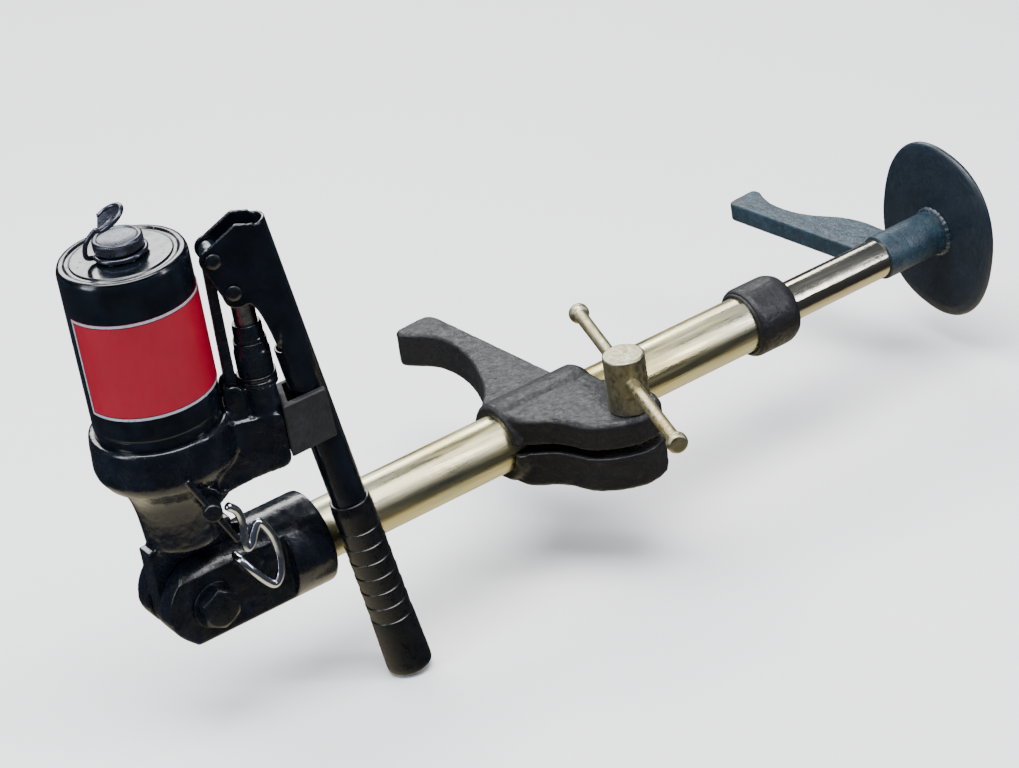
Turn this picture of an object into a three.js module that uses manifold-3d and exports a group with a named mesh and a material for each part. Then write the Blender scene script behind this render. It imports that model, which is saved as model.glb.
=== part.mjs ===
// Portable hydraulic spreading ram with its own hand pump, in millimetres, +Z up.
// The ram lies along +X. The pump head stands on a fork at the ram's -X end, and the round
// pad at the +X end carries the part's origin at the middle of its flat face.
import * as THREE from "three";
import { mergeVertices } from "three/addons/utils/BufferGeometryUtils.js";
import Module from "manifold-3d";

const wasm = await Module();
wasm.setup();

// ---- driving dimensions: the ram --------------------------------------------------------
const GAP = 0.3; // between pieces that touch on the real object
const RUNNING = 0.08; // radial clearance of a piece that slides or turns in another
const TUBE_R = 22.25;
const TUBE_BORE_R = 18;
const TUBE_START_X = 60;
const TUBE_END_X = 508;
const FORK_R = 35;
const FORK_END_X = 95;
const FORK_SLOT = 16;
const FORK_SLOT_END_X = 42;
const CHEEK_FLAT_Y = 24;
const FLAT_END_X = 62;
const PIVOT_R = 8;
const BOLT_HEX_R = 15.6;
const BOLT_HEAD_H = 9;
const WASHER_R = 17.5;
const WASHER_T = 1.6;
const NUT_R = 28;
const NUT_START_X = 490;
const NUT_END_X = 530;
const ROD_R = 15.75;
const ROD_BORE_R = 10;
const ROD_END_X = 668;
const SPRING_TURNS = 11;
const PISTON_X = 215;
const PISTON_T = 26;
const SLEEVE_R = 18;
const SLEEVE_START_X = 631;
const PAD_BACK_X = 690;
const PAD_FACE_X = 697;
const PAD_LONG_R = 75.5;
const PAD_SHORT_R = 62;
const PAD_EXPONENT = 2.3;
const PAD_TURN = 14;

// ---- driving dimensions: the jaws -------------------------------------------------------
const JAW_T = 30;
const JAW_BARREL_R = 31;
const JAW_START_X = 258;
const JAW_END_X = 342;
const EAR_HALF = 29;
const SPLIT = 7.6;
const SPLIT_Z = 4;
const SCREW_X = 330;
const SCREW_Y = -74;
const SCREW_R = 8;
const SCREW_HEAD_R = 15.5;
const SCREW_HEAD_H = 44;
const TOMMY_R = 5;
const TOMMY_HALF = 111;
const TOMMY_KNOB_R = 7.8;
const TOMMY_KNOB_L = 9;
const TOMMY_TURN = 72;
const TOMMY_BELOW_TOP = 18;
const HOOK_T = 16;

// ---- driving dimensions: the pump head --------------------------------------------------
const ARM_YAW = -22; // the arm and lever stand clear of the ram tube
const CAN_R = 44.3;
const CAN_WALL = 1.5;
const CAN_FOOT_Z = 128;
const CAN_TOP_Z = 267;
const CUP_R = 50.5;
const CUP_TOP_Z = 140;
const CUP_BOTTOM_Z = 110;
const NECK_R = 28;
const NECK_FOOT_Z = 47;
const TONGUE_R = 33;
const BOSS_R = 15;
const BOSS_TOP_Z = 271.4;
const LABEL_Z = [165, 237];
const CAP_R = 17.3;
const CAP_TOP_Z = 280;
const CAP_WIRE_R = 1.8;
const NECK_WIRE_R = 17.5;
const NECK_WIRE_Z = 269.2;
const ARM_HALF_W = 16;
const ARM_END_S = 82;
const ARM_BOTTOM_Z = 86;
const ARM_TOP_Z = 131;
const ARM_BOTTOM_SLOPE = 0.15;
const CHECK_VALVES = [["suction", 58.5], ["delivery", 73]];
const BARREL_S = 71;
const BARREL_R = 12.5;
const COLLAR_R = 13.7;
const COLLAR_TOP_Z = 152;
const FLANGE_TOP_Z = 159;
const BARREL_TOP_Z = 184;
const GLAND_TOP_Z = 197;
const PLUNGER_R = 8;
const PLUNGER_FOOT_Z = 122;
const LINK_FOOT = [52, 150];
const LINK_PIN_R = 3.2;
const FULCRUM = [57, 252];
const PLUNGER_PIN = [66, 226];
const LINK_HALF_T = 8;
const LEVER_TOP = [84.5, 270];
const LEVER_FOOT = [136, -100];
const LEVER_R = 12.7;
const LEVER_WALL = 2.4;
const EAR_GAP_HALF = 9.2;
const GRIP_R = 16.5;
const GRIP_L = 146;
const PIN_R = 4;
const CLIP_WALL = 4.4;
const CLIP_BOTTOM_Z = 101;
const CLIP_TOP_Z = 141;
const VALVE_S = 20;
const VALVE_Z = 92;
const VALVE_HEAD_N = -59;
const VALVE_HEAD_R = 6.7;
const VALVE_BAR_R = 2.4;
const VALVE_BAR_HALF = 30;
const VALVE_BAR_TURN = 65;
const WIRE_R = 3.2;

// ---- materials --------------------------------------------------------------------------
const finish = (color, roughness, metalness) =>
  new THREE.MeshStandardMaterial({ color, roughness, metalness });
const ENAMEL = finish(0x14202c, 0.25, 0.1);
const CAN_BLACK = finish(0x0d1218, 0.18, 0.1);
const LABEL = finish(0xc4002f, 0.35, 0);
const KNURL = finish(0x15171b, 0.4, 0.5);
const VINYL = finish(0x0e1117, 0.35, 0);
const MATTE_BLACK = finish(0x24262b, 0.7, 0);
const ZINC = finish(0xb9b489, 0.35, 0.9);
const CHROME = finish(0xc9ccd2, 0.15, 1);
const CAST = finish(0x171a24, 0.55, 0.2);
const TEAL_CAST = finish(0x32505f, 0.6, 0.2);
const PAD_PAINT = finish(0x1e2d3b, 0.45, 0.1);
const STEEL = finish(0x8c8f94, 0.35, 1);
const BLACK_STEEL = finish(0x1b1d21, 0.4, 0.6);
const BRONZE = finish(0xa57b45, 0.4, 0.9);
const SEAL = finish(0x101010, 0.8, 0);

// ---- solids -----------------------------------------------------------------------------
const rad = THREE.MathUtils.degToRad;

function solidOf(geometry) {
  const bare = geometry.clone();
  bare.deleteAttribute("normal");
  bare.deleteAttribute("uv");
  const merged = mergeVertices(bare, 1e-4);
  const vertProperties = new Float32Array(merged.attributes.position.array);
  const triVerts = new Uint32Array(merged.index.array);
  return new wasm.Manifold(new wasm.Mesh({ numProp: 3, vertProperties, triVerts }));
}

function geometryOf(solid) {
  const mesh = solid.getMesh();
  const geometry = new THREE.BufferGeometry();
  geometry.setAttribute("position", new THREE.BufferAttribute(mesh.vertProperties, 3));
  geometry.setIndex(new THREE.BufferAttribute(mesh.triVerts, 1));
  return geometry;
}

const joined = (first, ...others) => others.reduce((sum, other) => sum.add(other), first);
const cutFrom = (first, ...others) => others.reduce((rest, other) => rest.subtract(other), first);

// A turned solid about Z from [radius, z] points that start and end on the axis or close.
function turned(points, segments = 32) {
  const profile = points.map(([r, z]) => new THREE.Vector2(r, z));
  const geometry = new THREE.LatheGeometry(profile, segments);
  return solidOf(geometry.rotateX(Math.PI / 2));
}

// A ring about Z with a rectangular section.
function ring(inner, outer, low, high, segments = 32) {
  return turned([[inner, low], [outer, low], [outer, high], [inner, high], [inner, low]], segments);
}

// The same solid along X or along Y: what was z is then x or y.
const alongX = (solid) => solid.rotate([0, 90, 0]);
const alongY = (solid) => solid.rotate([-90, 0, 0]);

function cylinder(radius, low, high, segments = 32) {
  return turned([[0, low], [radius, low], [radius, high], [0, high]], segments);
}

function block(x0, x1, y0, y1, z0, z1) {
  const geometry = new THREE.BoxGeometry(x1 - x0, y1 - y0, z1 - z0);
  return solidOf(geometry.translate((x0 + x1) / 2, (y0 + y1) / 2, (z0 + z1) / 2));
}

// An outline in x and y, extruded from z = low to z = high with a small bevel.
function slab(shape, low, high, bevel = 0, curveSegments = 12) {
  const geometry = new THREE.ExtrudeGeometry(shape, {
    depth: high - low - 2 * bevel,
    bevelEnabled: bevel > 0,
    bevelThickness: bevel,
    bevelSize: bevel,
    bevelOffset: -bevel,
    bevelSegments: 1,
    curveSegments,
  });
  return solidOf(geometry.translate(0, 0, low + bevel));
}

// An outline in s and z (the lever's plane), with its thickness across that plane.
const upright = (solid) => solid.rotate([90, 0, 0]);

function sweep(curve, radius, steps, sides = 8) {
  const section = new THREE.Shape();
  section.absarc(0, 0, radius, 0, 2 * Math.PI);
  const geometry = new THREE.ExtrudeGeometry(section, {
    steps,
    extrudePath: curve,
    bevelEnabled: false,
    curveSegments: sides / 2,
  });
  return solidOf(geometry);
}

function smooth(points) {
  return new THREE.CatmullRomCurve3(points.map((p) => new THREE.Vector3(...p)), false, "centripetal");
}

function polygon(points) {
  return new THREE.Shape(points.map(([x, y]) => new THREE.Vector2(x, y)));
}

function hexagon(radius) {
  const corners = [...Array(6).keys()].map((i) => rad(60 * i + 30));
  return polygon(corners.map((a) => [radius * Math.cos(a), radius * Math.sin(a)]));
}

// Rounded outline through points; a point with a third number keeps that corner radius.
function rounded(points) {
  const shape = new THREE.Shape();
  points.forEach(([x, y, r = 0], i) => {
    const here = new THREE.Vector2(x, y);
    const before = new THREE.Vector2(...points.at(i - 1).slice(0, 2)).sub(here);
    const after = new THREE.Vector2(...points[(i + 1) % points.length].slice(0, 2)).sub(here);
    const enter = here.clone().add(before.setLength(r));
    const leave = here.clone().add(after.setLength(r));
    if (i === 0) shape.moveTo(enter.x, enter.y);
    else shape.lineTo(enter.x, enter.y);
    if (r > 0) shape.quadraticCurveTo(x, y, leave.x, leave.y);
  });
  shape.closePath();
  return shape;
}

function stadium([x0, y0], [x1, y1], radius) {
  const along = Math.atan2(y1 - y0, x1 - x0);
  const shape = new THREE.Shape();
  shape.absarc(x1, y1, radius, along - Math.PI / 2, along + Math.PI / 2);
  shape.absarc(x0, y0, radius, along + Math.PI / 2, along + 1.5 * Math.PI);
  shape.closePath();
  return shape;
}

// ---- the tree ---------------------------------------------------------------------------
const part = new THREE.Group();
const ram = new THREE.Group(); // along X from the fork's pivot
const head = new THREE.Group(); // about the can's axis, square to the ram
const arm = new THREE.Group(); // s, n, z: turned about the can's axis
ram.position.x = -PAD_FACE_X;
head.position.x = -PAD_FACE_X;
arm.rotation.z = rad(ARM_YAW);
head.add(arm);
part.add(ram, head);

function put(group, name, solid, material) {
  const mesh = new THREE.Mesh(geometryOf(solid), material);
  mesh.name = name;
  group.add(mesh);
}

// ---- the ram's barrel -------------------------------------------------------------------
function clevisFork() {
  const bar = alongX(turned([
    [0, -FORK_R],
    [FORK_R, -FORK_R],
    [FORK_R, FORK_END_X - 2],
    [FORK_R - 2, FORK_END_X],
    [0, FORK_END_X],
  ], 40));
  const side = new THREE.Shape();
  side.absarc(0, 0, FORK_R, Math.PI / 2, 1.5 * Math.PI);
  side.lineTo(FORK_END_X + 1, -FORK_R);
  side.lineTo(FORK_END_X + 1, FORK_R);
  side.closePath();
  const roundEnd = upright(slab(side, -FORK_R - 1, FORK_R + 1, 0, 28));
  const slotHalf = FORK_SLOT / 2;
  const slot = block(-FORK_R - 1, FORK_SLOT_END_X, -slotHalf, slotHalf, -FORK_R - 1, FORK_R + 1);
  const backFlat = block(-FORK_R - 1, FLAT_END_X, CHEEK_FLAT_Y, FORK_R + 1, -FORK_R, FORK_R);
  const flats = [backFlat, backFlat.mirror([0, 1, 0])];
  const pivot = alongY(cylinder(PIVOT_R + RUNNING, -FORK_R - 1, FORK_R + 1, 32));
  const socket = alongX(cylinder(TUBE_R + GAP / 2, TUBE_START_X - GAP, FORK_END_X + 1, 40));
  const gallery = alongX(cylinder(2, 4, TUBE_START_X + 2, 12)).translate([0, 14, 0]);
  const lockHole = alongY(cylinder(WIRE_R + GAP, -40, -16.5, 16)).translate([24, 0, 26]);
  return cutFrom(bar.intersect(roundEnd), slot, ...flats, pivot, socket, gallery, lockHole);
}

// Route of the bent spring wire that locks the pivot: a stub in the cheek, then loops beside it.
const LOCK_STUB = [[24, -17.5, 26], [24, -21, 26], [24, -25, 26]];
const LOCK_LOOPS = [
  [24.8, -29.4, 24.8],
  [28.4, -33, 18.6],
  [35.6, -34.4, 7.4],
  [42.5, -34.6, 0.4],
  [48, -34.6, 5],
  [50.5, -34.6, 16],
  [50, -34.6, 28],
  [46.6, -34.8, 42],
  [40.4, -35, 52.6],
  [35.6, -35.2, 48.2],
  [31.6, -35.4, 40],
  [27.4, -35.6, 38.2],
  [26.4, -35.8, 45],
  [27.6, -36, 58],
  [25.6, -36, 69],
  [19.4, -35.6, 76],
];

function gland() {
  const body = alongX(turned([
    [0, NUT_START_X],
    [NUT_R - 1.5, NUT_START_X],
    [NUT_R, NUT_START_X + 1.5],
    [NUT_R, NUT_END_X - 3],
    [NUT_R - 3, NUT_END_X],
    [0, NUT_END_X],
  ], 40));
  const socket = alongX(cylinder(TUBE_R + GAP / 2, NUT_START_X - 1, TUBE_END_X + GAP, 40));
  const rodHole = alongX(cylinder(ROD_R + RUNNING, NUT_START_X, NUT_END_X + 1, 40));
  const wiperSeat = alongX(cylinder(ROD_R + 3.3, NUT_END_X - 5, NUT_END_X + 1, 40));
  return cutFrom(body, socket, rodHole, wiperSeat);
}

function tensionSpring() {
  class Coil extends THREE.Curve {
    getPoint(t) {
      const a = 2 * Math.PI * SPRING_TURNS * t;
      return new THREE.Vector3(82 + 500 * t, 6.4 * Math.cos(a), 6.4 * Math.sin(a));
    }
  }
  return sweep(new Coil(), 1.1, SPRING_TURNS * 6, 4);
}

function barrelNodes() {
  const washerTop = CHEEK_FLAT_Y + GAP + WASHER_T;
  const boltEnd = washerTop + GAP;
  const shank = alongY(cylinder(PIVOT_R, -boltEnd - 1, boltEnd + 14, 32));
  const hex = upright(slab(hexagon(BOLT_HEX_R), 0, BOLT_HEAD_H, 0)).translate([0, -boltEnd, 0]);
  const nutHex = hex.translate([0, 2 * boltEnd + BOLT_HEAD_H, 0]);
  const nutBore = alongY(cylinder(PIVOT_R + RUNNING, 0, 60, 32));
  const washer = alongY(ring(PIVOT_R + RUNNING, WASHER_R, CHEEK_FLAT_Y + GAP, washerTop, 36));
  const anchor = alongX(cylinder(TUBE_BORE_R - GAP, TUBE_START_X + 1, TUBE_START_X + 12, 32));
  const anchorEye = alongX(cylinder(4.6, TUBE_START_X + 11, TUBE_START_X + 20, 20));
  const bush = ring(ROD_R + RUNNING, TUBE_BORE_R - 0.1, NUT_START_X - 10, TUBE_END_X - GAP, 40);
  const wiper = ring(ROD_R + RUNNING, ROD_R + 3, NUT_END_X - 4.7, NUT_END_X + 1, 40);
  put(ram, "clevis_fork", clevisFork(), ENAMEL);
  put(ram, "ram_tube", alongX(ring(TUBE_BORE_R, TUBE_R, TUBE_START_X, TUBE_END_X, 40)), ZINC);
  put(ram, "gland_nut", gland(), CAST);
  put(ram, "gland_bush", alongX(bush), BRONZE);
  put(ram, "rod_wiper", alongX(wiper), SEAL);
  put(ram, "pivot_bolt", joined(shank, hex), BLACK_STEEL);
  put(ram, "pivot_washer_front", washer.mirror([0, 1, 0]), BLACK_STEEL);
  put(ram, "pivot_washer_back", washer, BLACK_STEEL);
  put(ram, "pivot_nut", cutFrom(nutHex, nutBore), BLACK_STEEL);
  put(ram, "spring_anchor_base", joined(anchor, anchorEye), STEEL);
  put(ram, "return_spring", tensionSpring(), STEEL);
  put(ram, "lock_wire", sweep(smooth([...LOCK_STUB, ...LOCK_LOOPS]), WIRE_R, 44, 8), CHROME);
}

// ---- the ram's rod and the hook head ----------------------------------------------------
function endHook() {
  const shape = new THREE.Shape();
  shape.moveTo(621.5, 0);
  shape.lineTo(607, 152);
  shape.quadraticCurveTo(606.6, 158, 612, 158.6);
  shape.lineTo(631, 160);
  shape.quadraticCurveTo(637, 160, 636.5, 152);
  shape.quadraticCurveTo(632, 143, 629.6, 130);
  shape.bezierCurveTo(628.6, 108, 633, 92, 643, 77);
  shape.bezierCurveTo(652, 64, 656.5, 52, 657, 34);
  shape.lineTo(658, 0);
  shape.closePath();
  const bar = slab(shape, -HOOK_T / 2, HOOK_T / 2, 1.2, 8);
  return cutFrom(bar, alongX(cylinder(SLEEVE_R + GAP / 2, 600, 700, 40)));
}

function padShape() {
  const shape = new THREE.Shape();
  const corners = 56;
  for (let i = 0; i < corners; i += 1) {
    const a = (2 * Math.PI * i) / corners;
    const power = 2 / PAD_EXPONENT;
    const u = PAD_LONG_R * Math.sign(Math.cos(a)) * Math.abs(Math.cos(a)) ** power;
    const v = PAD_SHORT_R * Math.sign(Math.sin(a)) * Math.abs(Math.sin(a)) ** power;
    if (i === 0) shape.moveTo(u, v);
    else shape.lineTo(u, v);
  }
  shape.closePath();
  return shape;
}

function rodNodes() {
  const grooveX = PISTON_X + PISTON_T / 2;
  const piston = alongX(ring(ROD_BORE_R, TUBE_BORE_R - RUNNING, PISTON_X, PISTON_X + PISTON_T, 40));
  const groove = alongX(ring(14.6, 20, grooveX - 3, grooveX + 3, 40));
  const rod = alongX(cylinder(ROD_R, PISTON_X + PISTON_T + GAP, ROD_END_X, 40));
  const rodBore = alongX(cylinder(ROD_BORE_R, PISTON_X, ROD_END_X - 12, 32));
  const anchor = alongX(cylinder(ROD_BORE_R - GAP, ROD_END_X - 24, ROD_END_X - 12 - GAP, 28));
  const anchorEye = alongX(cylinder(4.6, ROD_END_X - 84, ROD_END_X - 23, 16));
  const seal = ring(14.8, TUBE_BORE_R - RUNNING, grooveX - 2.7, grooveX + 2.7, 40);
  put(ram, "ram_rod", cutFrom(rod, rodBore), CHROME);
  put(ram, "piston", cutFrom(piston, groove), STEEL);
  put(ram, "piston_seal", alongX(seal), SEAL);
  put(ram, "spring_anchor_rod", joined(anchor, anchorEye), STEEL);
  const sleeve = alongX(turned([
    [0, SLEEVE_START_X],
    [SLEEVE_R - 1, SLEEVE_START_X],
    [SLEEVE_R, SLEEVE_START_X + 1],
    [SLEEVE_R, PAD_BACK_X - GAP],
    [0, PAD_BACK_X - GAP],
  ], 40));
  const rodSocket = alongX(cylinder(ROD_R + RUNNING, SLEEVE_START_X - 1, ROD_END_X + GAP, 40));
  put(ram, "hook_sleeve", cutFrom(sleeve, rodSocket), TEAL_CAST);
  put(ram, "end_hook", endHook(), TEAL_CAST);
  const pad = slab(padShape(), PAD_BACK_X, PAD_FACE_X, 2.2, 1).rotate([0, 0, PAD_TURN]);
  put(ram, "push_pad", pad.rotate([0, 90, 0]).rotate([180, 0, 0]), PAD_PAINT);
}

// ---- the sliding jaw --------------------------------------------------------------------
function jawShape() {
  const shape = new THREE.Shape();
  shape.moveTo(JAW_END_X - 4, 0);
  shape.lineTo(326, 174);
  shape.quadraticCurveTo(324.5, 185, 315, 185);
  shape.lineTo(296, 183.5);
  shape.quadraticCurveTo(288, 183, 289, 176);
  shape.bezierCurveTo(294, 165, 304, 160, 307, 146);
  shape.bezierCurveTo(312, 122, 305, 98, 296, 76);
  shape.bezierCurveTo(289, 58, 280, 42, JAW_START_X + 4, 28);
  shape.lineTo(JAW_START_X, 0);
  shape.closePath();
  return shape;
}

function earShape() {
  const shape = new THREE.Shape();
  shape.moveTo(JAW_START_X, 0);
  shape.lineTo(JAW_START_X + 4, -24);
  shape.quadraticCurveTo(266, -33, 275, -39);
  shape.quadraticCurveTo(283, -46, 287, -60);
  shape.bezierCurveTo(291, -76, 303, -83, 314, -89);
  shape.bezierCurveTo(330, -99, 354, -92, 356, -70);
  shape.quadraticCurveTo(357, -44, JAW_END_X, -24);
  shape.lineTo(JAW_END_X, 0);
  shape.closePath();
  return shape;
}

function slideJaw() {
  const barrel = alongX(turned([
    [0, JAW_START_X],
    [JAW_BARREL_R - 3, JAW_START_X],
    [JAW_BARREL_R, JAW_START_X + 4],
    [JAW_BARREL_R, JAW_END_X - 4],
    [JAW_BARREL_R - 3, JAW_END_X],
    [0, JAW_END_X],
  ], 40));
  const hook = slab(jawShape(), -JAW_T / 2, JAW_T / 2, 2, 6);
  const ears = slab(earShape(), -EAR_HALF, EAR_HALF, 3, 5);
  const bore = alongX(cylinder(TUBE_R + RUNNING, JAW_START_X - 2, JAW_END_X + 30, 40));
  const split = block(JAW_START_X - 4, JAW_END_X + 14, -100, -TUBE_R + 4, SPLIT_Z - SPLIT / 2,
    SPLIT_Z + SPLIT / 2);
  const screwHole = cylinder(SCREW_R + GAP, -40, 40, 28).translate([SCREW_X, SCREW_Y, 0]);
  return cutFrom(joined(barrel, hook, ears), bore, split, screwHole);
}

function jawNodes() {
  const foot = EAR_HALF + GAP;
  const top = foot + SCREW_HEAD_H;
  const headAndShank = turned([
    [0, -24],
    [SCREW_R - 1.2, -24],
    [SCREW_R, -22.8],
    [SCREW_R, foot],
    [SCREW_HEAD_R, foot],
    [SCREW_HEAD_R, top - 2],
    [SCREW_HEAD_R - 2, top],
    [0, top],
  ], 40);
  const eye = alongX(cylinder(TOMMY_R + 0.15, -30, 30, 24));
  const crossHole = eye.rotate([0, 0, TOMMY_TURN]).translate([0, 0, top - TOMMY_BELOW_TOP]);
  const place = [SCREW_X, SCREW_Y, 0];
  put(ram, "slide_jaw", slideJaw(), CAST);
  put(ram, "clamp_screw", cutFrom(headAndShank, crossHole).translate(place), ZINC);
  const knob = [TOMMY_HALF - TOMMY_KNOB_L, TOMMY_HALF];
  const bar = alongX(turned([
    [0, -knob[1]],
    [TOMMY_KNOB_R - 2, -knob[1]],
    [TOMMY_KNOB_R, -knob[1] + 2],
    [TOMMY_KNOB_R, -knob[0] - 2],
    [TOMMY_R, -knob[0]],
    [TOMMY_R, knob[0]],
    [TOMMY_KNOB_R, knob[0] + 2],
    [TOMMY_KNOB_R, knob[1] - 2],
    [TOMMY_KNOB_R - 2, knob[1]],
    [0, knob[1]],
  ], 24));
  const barZ = [0, 0, top - TOMMY_BELOW_TOP];
  put(ram, "tommy_bar", bar.rotate([0, 0, TOMMY_TURN]).translate(barZ).translate(place), ZINC);
}

// ---- the pump head ----------------------------------------------------------------------
const yawed = (solid) => solid.rotate([0, 0, ARM_YAW]);
const LUG_T = 4.6;

function baseCasting() {
  const cup = turned([
    [0, NECK_FOOT_Z],
    [NECK_R - 2.5, NECK_FOOT_Z],
    [NECK_R - 0.4, NECK_FOOT_Z + 3],
    [NECK_R, NECK_FOOT_Z + 12],
    [NECK_R + 1.4, NECK_FOOT_Z + 28],
    [NECK_R + 4.4, NECK_FOOT_Z + 42],
    [NECK_R + 10, NECK_FOOT_Z + 51],
    [CUP_R - 4, CUP_BOTTOM_Z - 5],
    [CUP_R, CUP_BOTTOM_Z + 2],
    [CUP_R - 0.6, CUP_TOP_Z - 12],
    [CUP_R - 1.6, CUP_TOP_Z - 2],
    [CUP_R - 2.8, CUP_TOP_Z],
    [0, CUP_TOP_Z],
  ], 40);
  const seat = ring(CAN_R - CAN_WALL - 3, CAN_R + GAP, CAN_FOOT_Z, CUP_TOP_Z + 1, 40);
  const well = cylinder(CAN_R - CAN_WALL - 2, CAN_FOOT_Z + 6, CUP_TOP_Z + 1, 40);
  const tongueSide = new THREE.Shape();
  tongueSide.absarc(0, 0, TONGUE_R, Math.PI, 2 * Math.PI);
  tongueSide.lineTo(TONGUE_R, NECK_FOOT_Z + 2);
  tongueSide.lineTo(-TONGUE_R, NECK_FOOT_Z + 2);
  tongueSide.closePath();
  const half = FORK_SLOT / 2 - GAP;
  const tongue = upright(slab(tongueSide, -half, half, 0.8, 24));
  const beamSide = rounded([
    [0, ARM_BOTTOM_Z + 6],
    [30, ARM_BOTTOM_Z - 8, 6],
    [50, ARM_BOTTOM_Z - 1, 8],
    [ARM_END_S, ARM_BOTTOM_Z + 4, 6],
    [ARM_END_S, ARM_TOP_Z, 4],
    [0, ARM_TOP_Z],
  ]);
  const beam = yawed(upright(slab(beamSide, -ARM_HALF_W, ARM_HALF_W, 3, 6)));
  const boss = cylinder(COLLAR_R, ARM_BOTTOM_Z + 10, COLLAR_TOP_Z, 40);
  const collar = yawed(boss.translate([BARREL_S, 0, 0]));
  const lugs = [-1, 1].map((side) => {
    const n = side * (LINK_HALF_T + GAP + LUG_T / 2);
    const foot = [LINK_FOOT[0], ARM_TOP_Z - 12];
    return yawed(upright(slab(stadium(foot, LINK_FOOT, 7.2), n - LUG_T / 2, n + LUG_T / 2, 0.6, 10)));
  });
  const linkSlot = yawed(block(46.2, 57.3, -LINK_HALF_T - GAP, LINK_HALF_T + GAP, ARM_TOP_Z - 4, 200));
  const canRoom = cylinder(CAN_R + GAP, CUP_TOP_Z - 2, 300, 40);
  const pinHole = alongY(cylinder(LINK_PIN_R + RUNNING, -30, 30, 20));
  const linkPin = yawed(pinHole.translate([LINK_FOOT[0], 0, LINK_FOOT[1]]));
  const barrelHole = cylinder(BARREL_R - 2 + GAP, ARM_TOP_Z - 24, COLLAR_TOP_Z + 1, 36);
  const bore = yawed(barrelHole.translate([BARREL_S, 0, 0]));
  const valveBoss = yawed(alongY(cylinder(9, -40, -8, 28)).translate([VALVE_S, 0, VALVE_Z]));
  const valveHole = yawed(alongY(cylinder(4.2, -41, -14, 20)).translate([VALVE_S, 0, VALVE_Z]));
  const pivot = alongY(cylinder(PIVOT_R + RUNNING, -30, 30, 32));
  const gallery = cylinder(2, 2, 96, 12);
  const pockets = CHECK_VALVES.map(([, s]) =>
    yawed(cylinder(5, ARM_BOTTOM_Z - 10, ARM_BOTTOM_Z + 16, 16).translate([s, 0, 0])));
  const clipSeat = yawed(block(ARM_END_S - 0.01, ARM_END_S + 4, -40, 40, 80, 140));
  const whole = joined(cup, tongue, beam, collar, ...lugs, valveBoss);
  return cutFrom(whole, seat, well, canRoom, linkSlot, linkPin, bore, valveHole, pivot, gallery, clipSeat,
    ...pockets);
}

function reservoirCan() {
  const inner = CAN_R - CAN_WALL;
  return turned([
    [inner, CAN_FOOT_Z + GAP],
    [CAN_R, CAN_FOOT_Z + GAP],
    [CAN_R, CAN_TOP_Z - 4.5],
    [CAN_R - 1.6, CAN_TOP_Z - 1.2],
    [CAN_R - 5, CAN_TOP_Z],
    [35, CAN_TOP_Z - 0.8],
    [BOSS_R, CAN_TOP_Z - 0.4],
    [BOSS_R, BOSS_TOP_Z],
    [9.2, BOSS_TOP_Z],
    [9.2, CAN_TOP_Z - 4],
    [inner - 2, CAN_TOP_Z - 4],
    [inner, CAN_TOP_Z - 6],
    [inner, CAN_FOOT_Z + GAP],
  ], 40);
}

function labelBand() {
  const shape = new THREE.Shape();
  const inner = CAN_R + GAP;
  const outer = CAN_R + GAP + 0.4;
  const from = rad(-179);
  const to = rad(43);
  shape.absarc(0, 0, outer, from, to);
  shape.absarc(0, 0, inner, to, from, true);
  shape.closePath();
  return slab(shape, LABEL_Z[0], LABEL_Z[1], 0, 20);
}

// The cap's wire: most of a turn round the filler neck, a rising tail, then a finger eye.
function capWire() {
  const neck = [...Array(12).keys()].map((i) => {
    const a = rad(500 - 29 * i);
    return [NECK_WIRE_R * Math.cos(a), NECK_WIRE_R * Math.sin(a), NECK_WIRE_Z];
  });
  const tail = [
    [-22.6, -1.2, 271.5],
    [-23, -3, 278],
    [-20.4, -5, 285],
    [-14.5, -6, 290.5],
  ];
  const eye = [...Array(10).keys()].map((i) => {
    const a = rad(184 + 33 * i);
    const z = 295 + 4.7 * Math.cos(a) + 0.33 * i;
    return [9.4 * Math.cos(a) - 3.6, 8.5 * Math.sin(a) - 6 + 0.22 * i, z];
  });
  return sweep(smooth([...neck, ...tail, ...eye]), CAP_WIRE_R, 64, 6);
}

function capNodes() {
  const stem = 8.8;
  put(head, "filler_cap", turned([
    [0, CAN_TOP_Z - 10],
    [stem, CAN_TOP_Z - 10],
    [stem, BOSS_TOP_Z + GAP],
    [CAP_R - 1.2, BOSS_TOP_Z + GAP],
    [CAP_R, BOSS_TOP_Z + 1.4],
    [CAP_R, CAP_TOP_Z - 1],
    [CAP_R - 1.2, CAP_TOP_Z],
    [0, CAP_TOP_Z],
  ], 40), KNURL);
  put(head, "cap_wire", capWire().rotate([0, 0, -12]), BLACK_STEEL);
}

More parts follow.
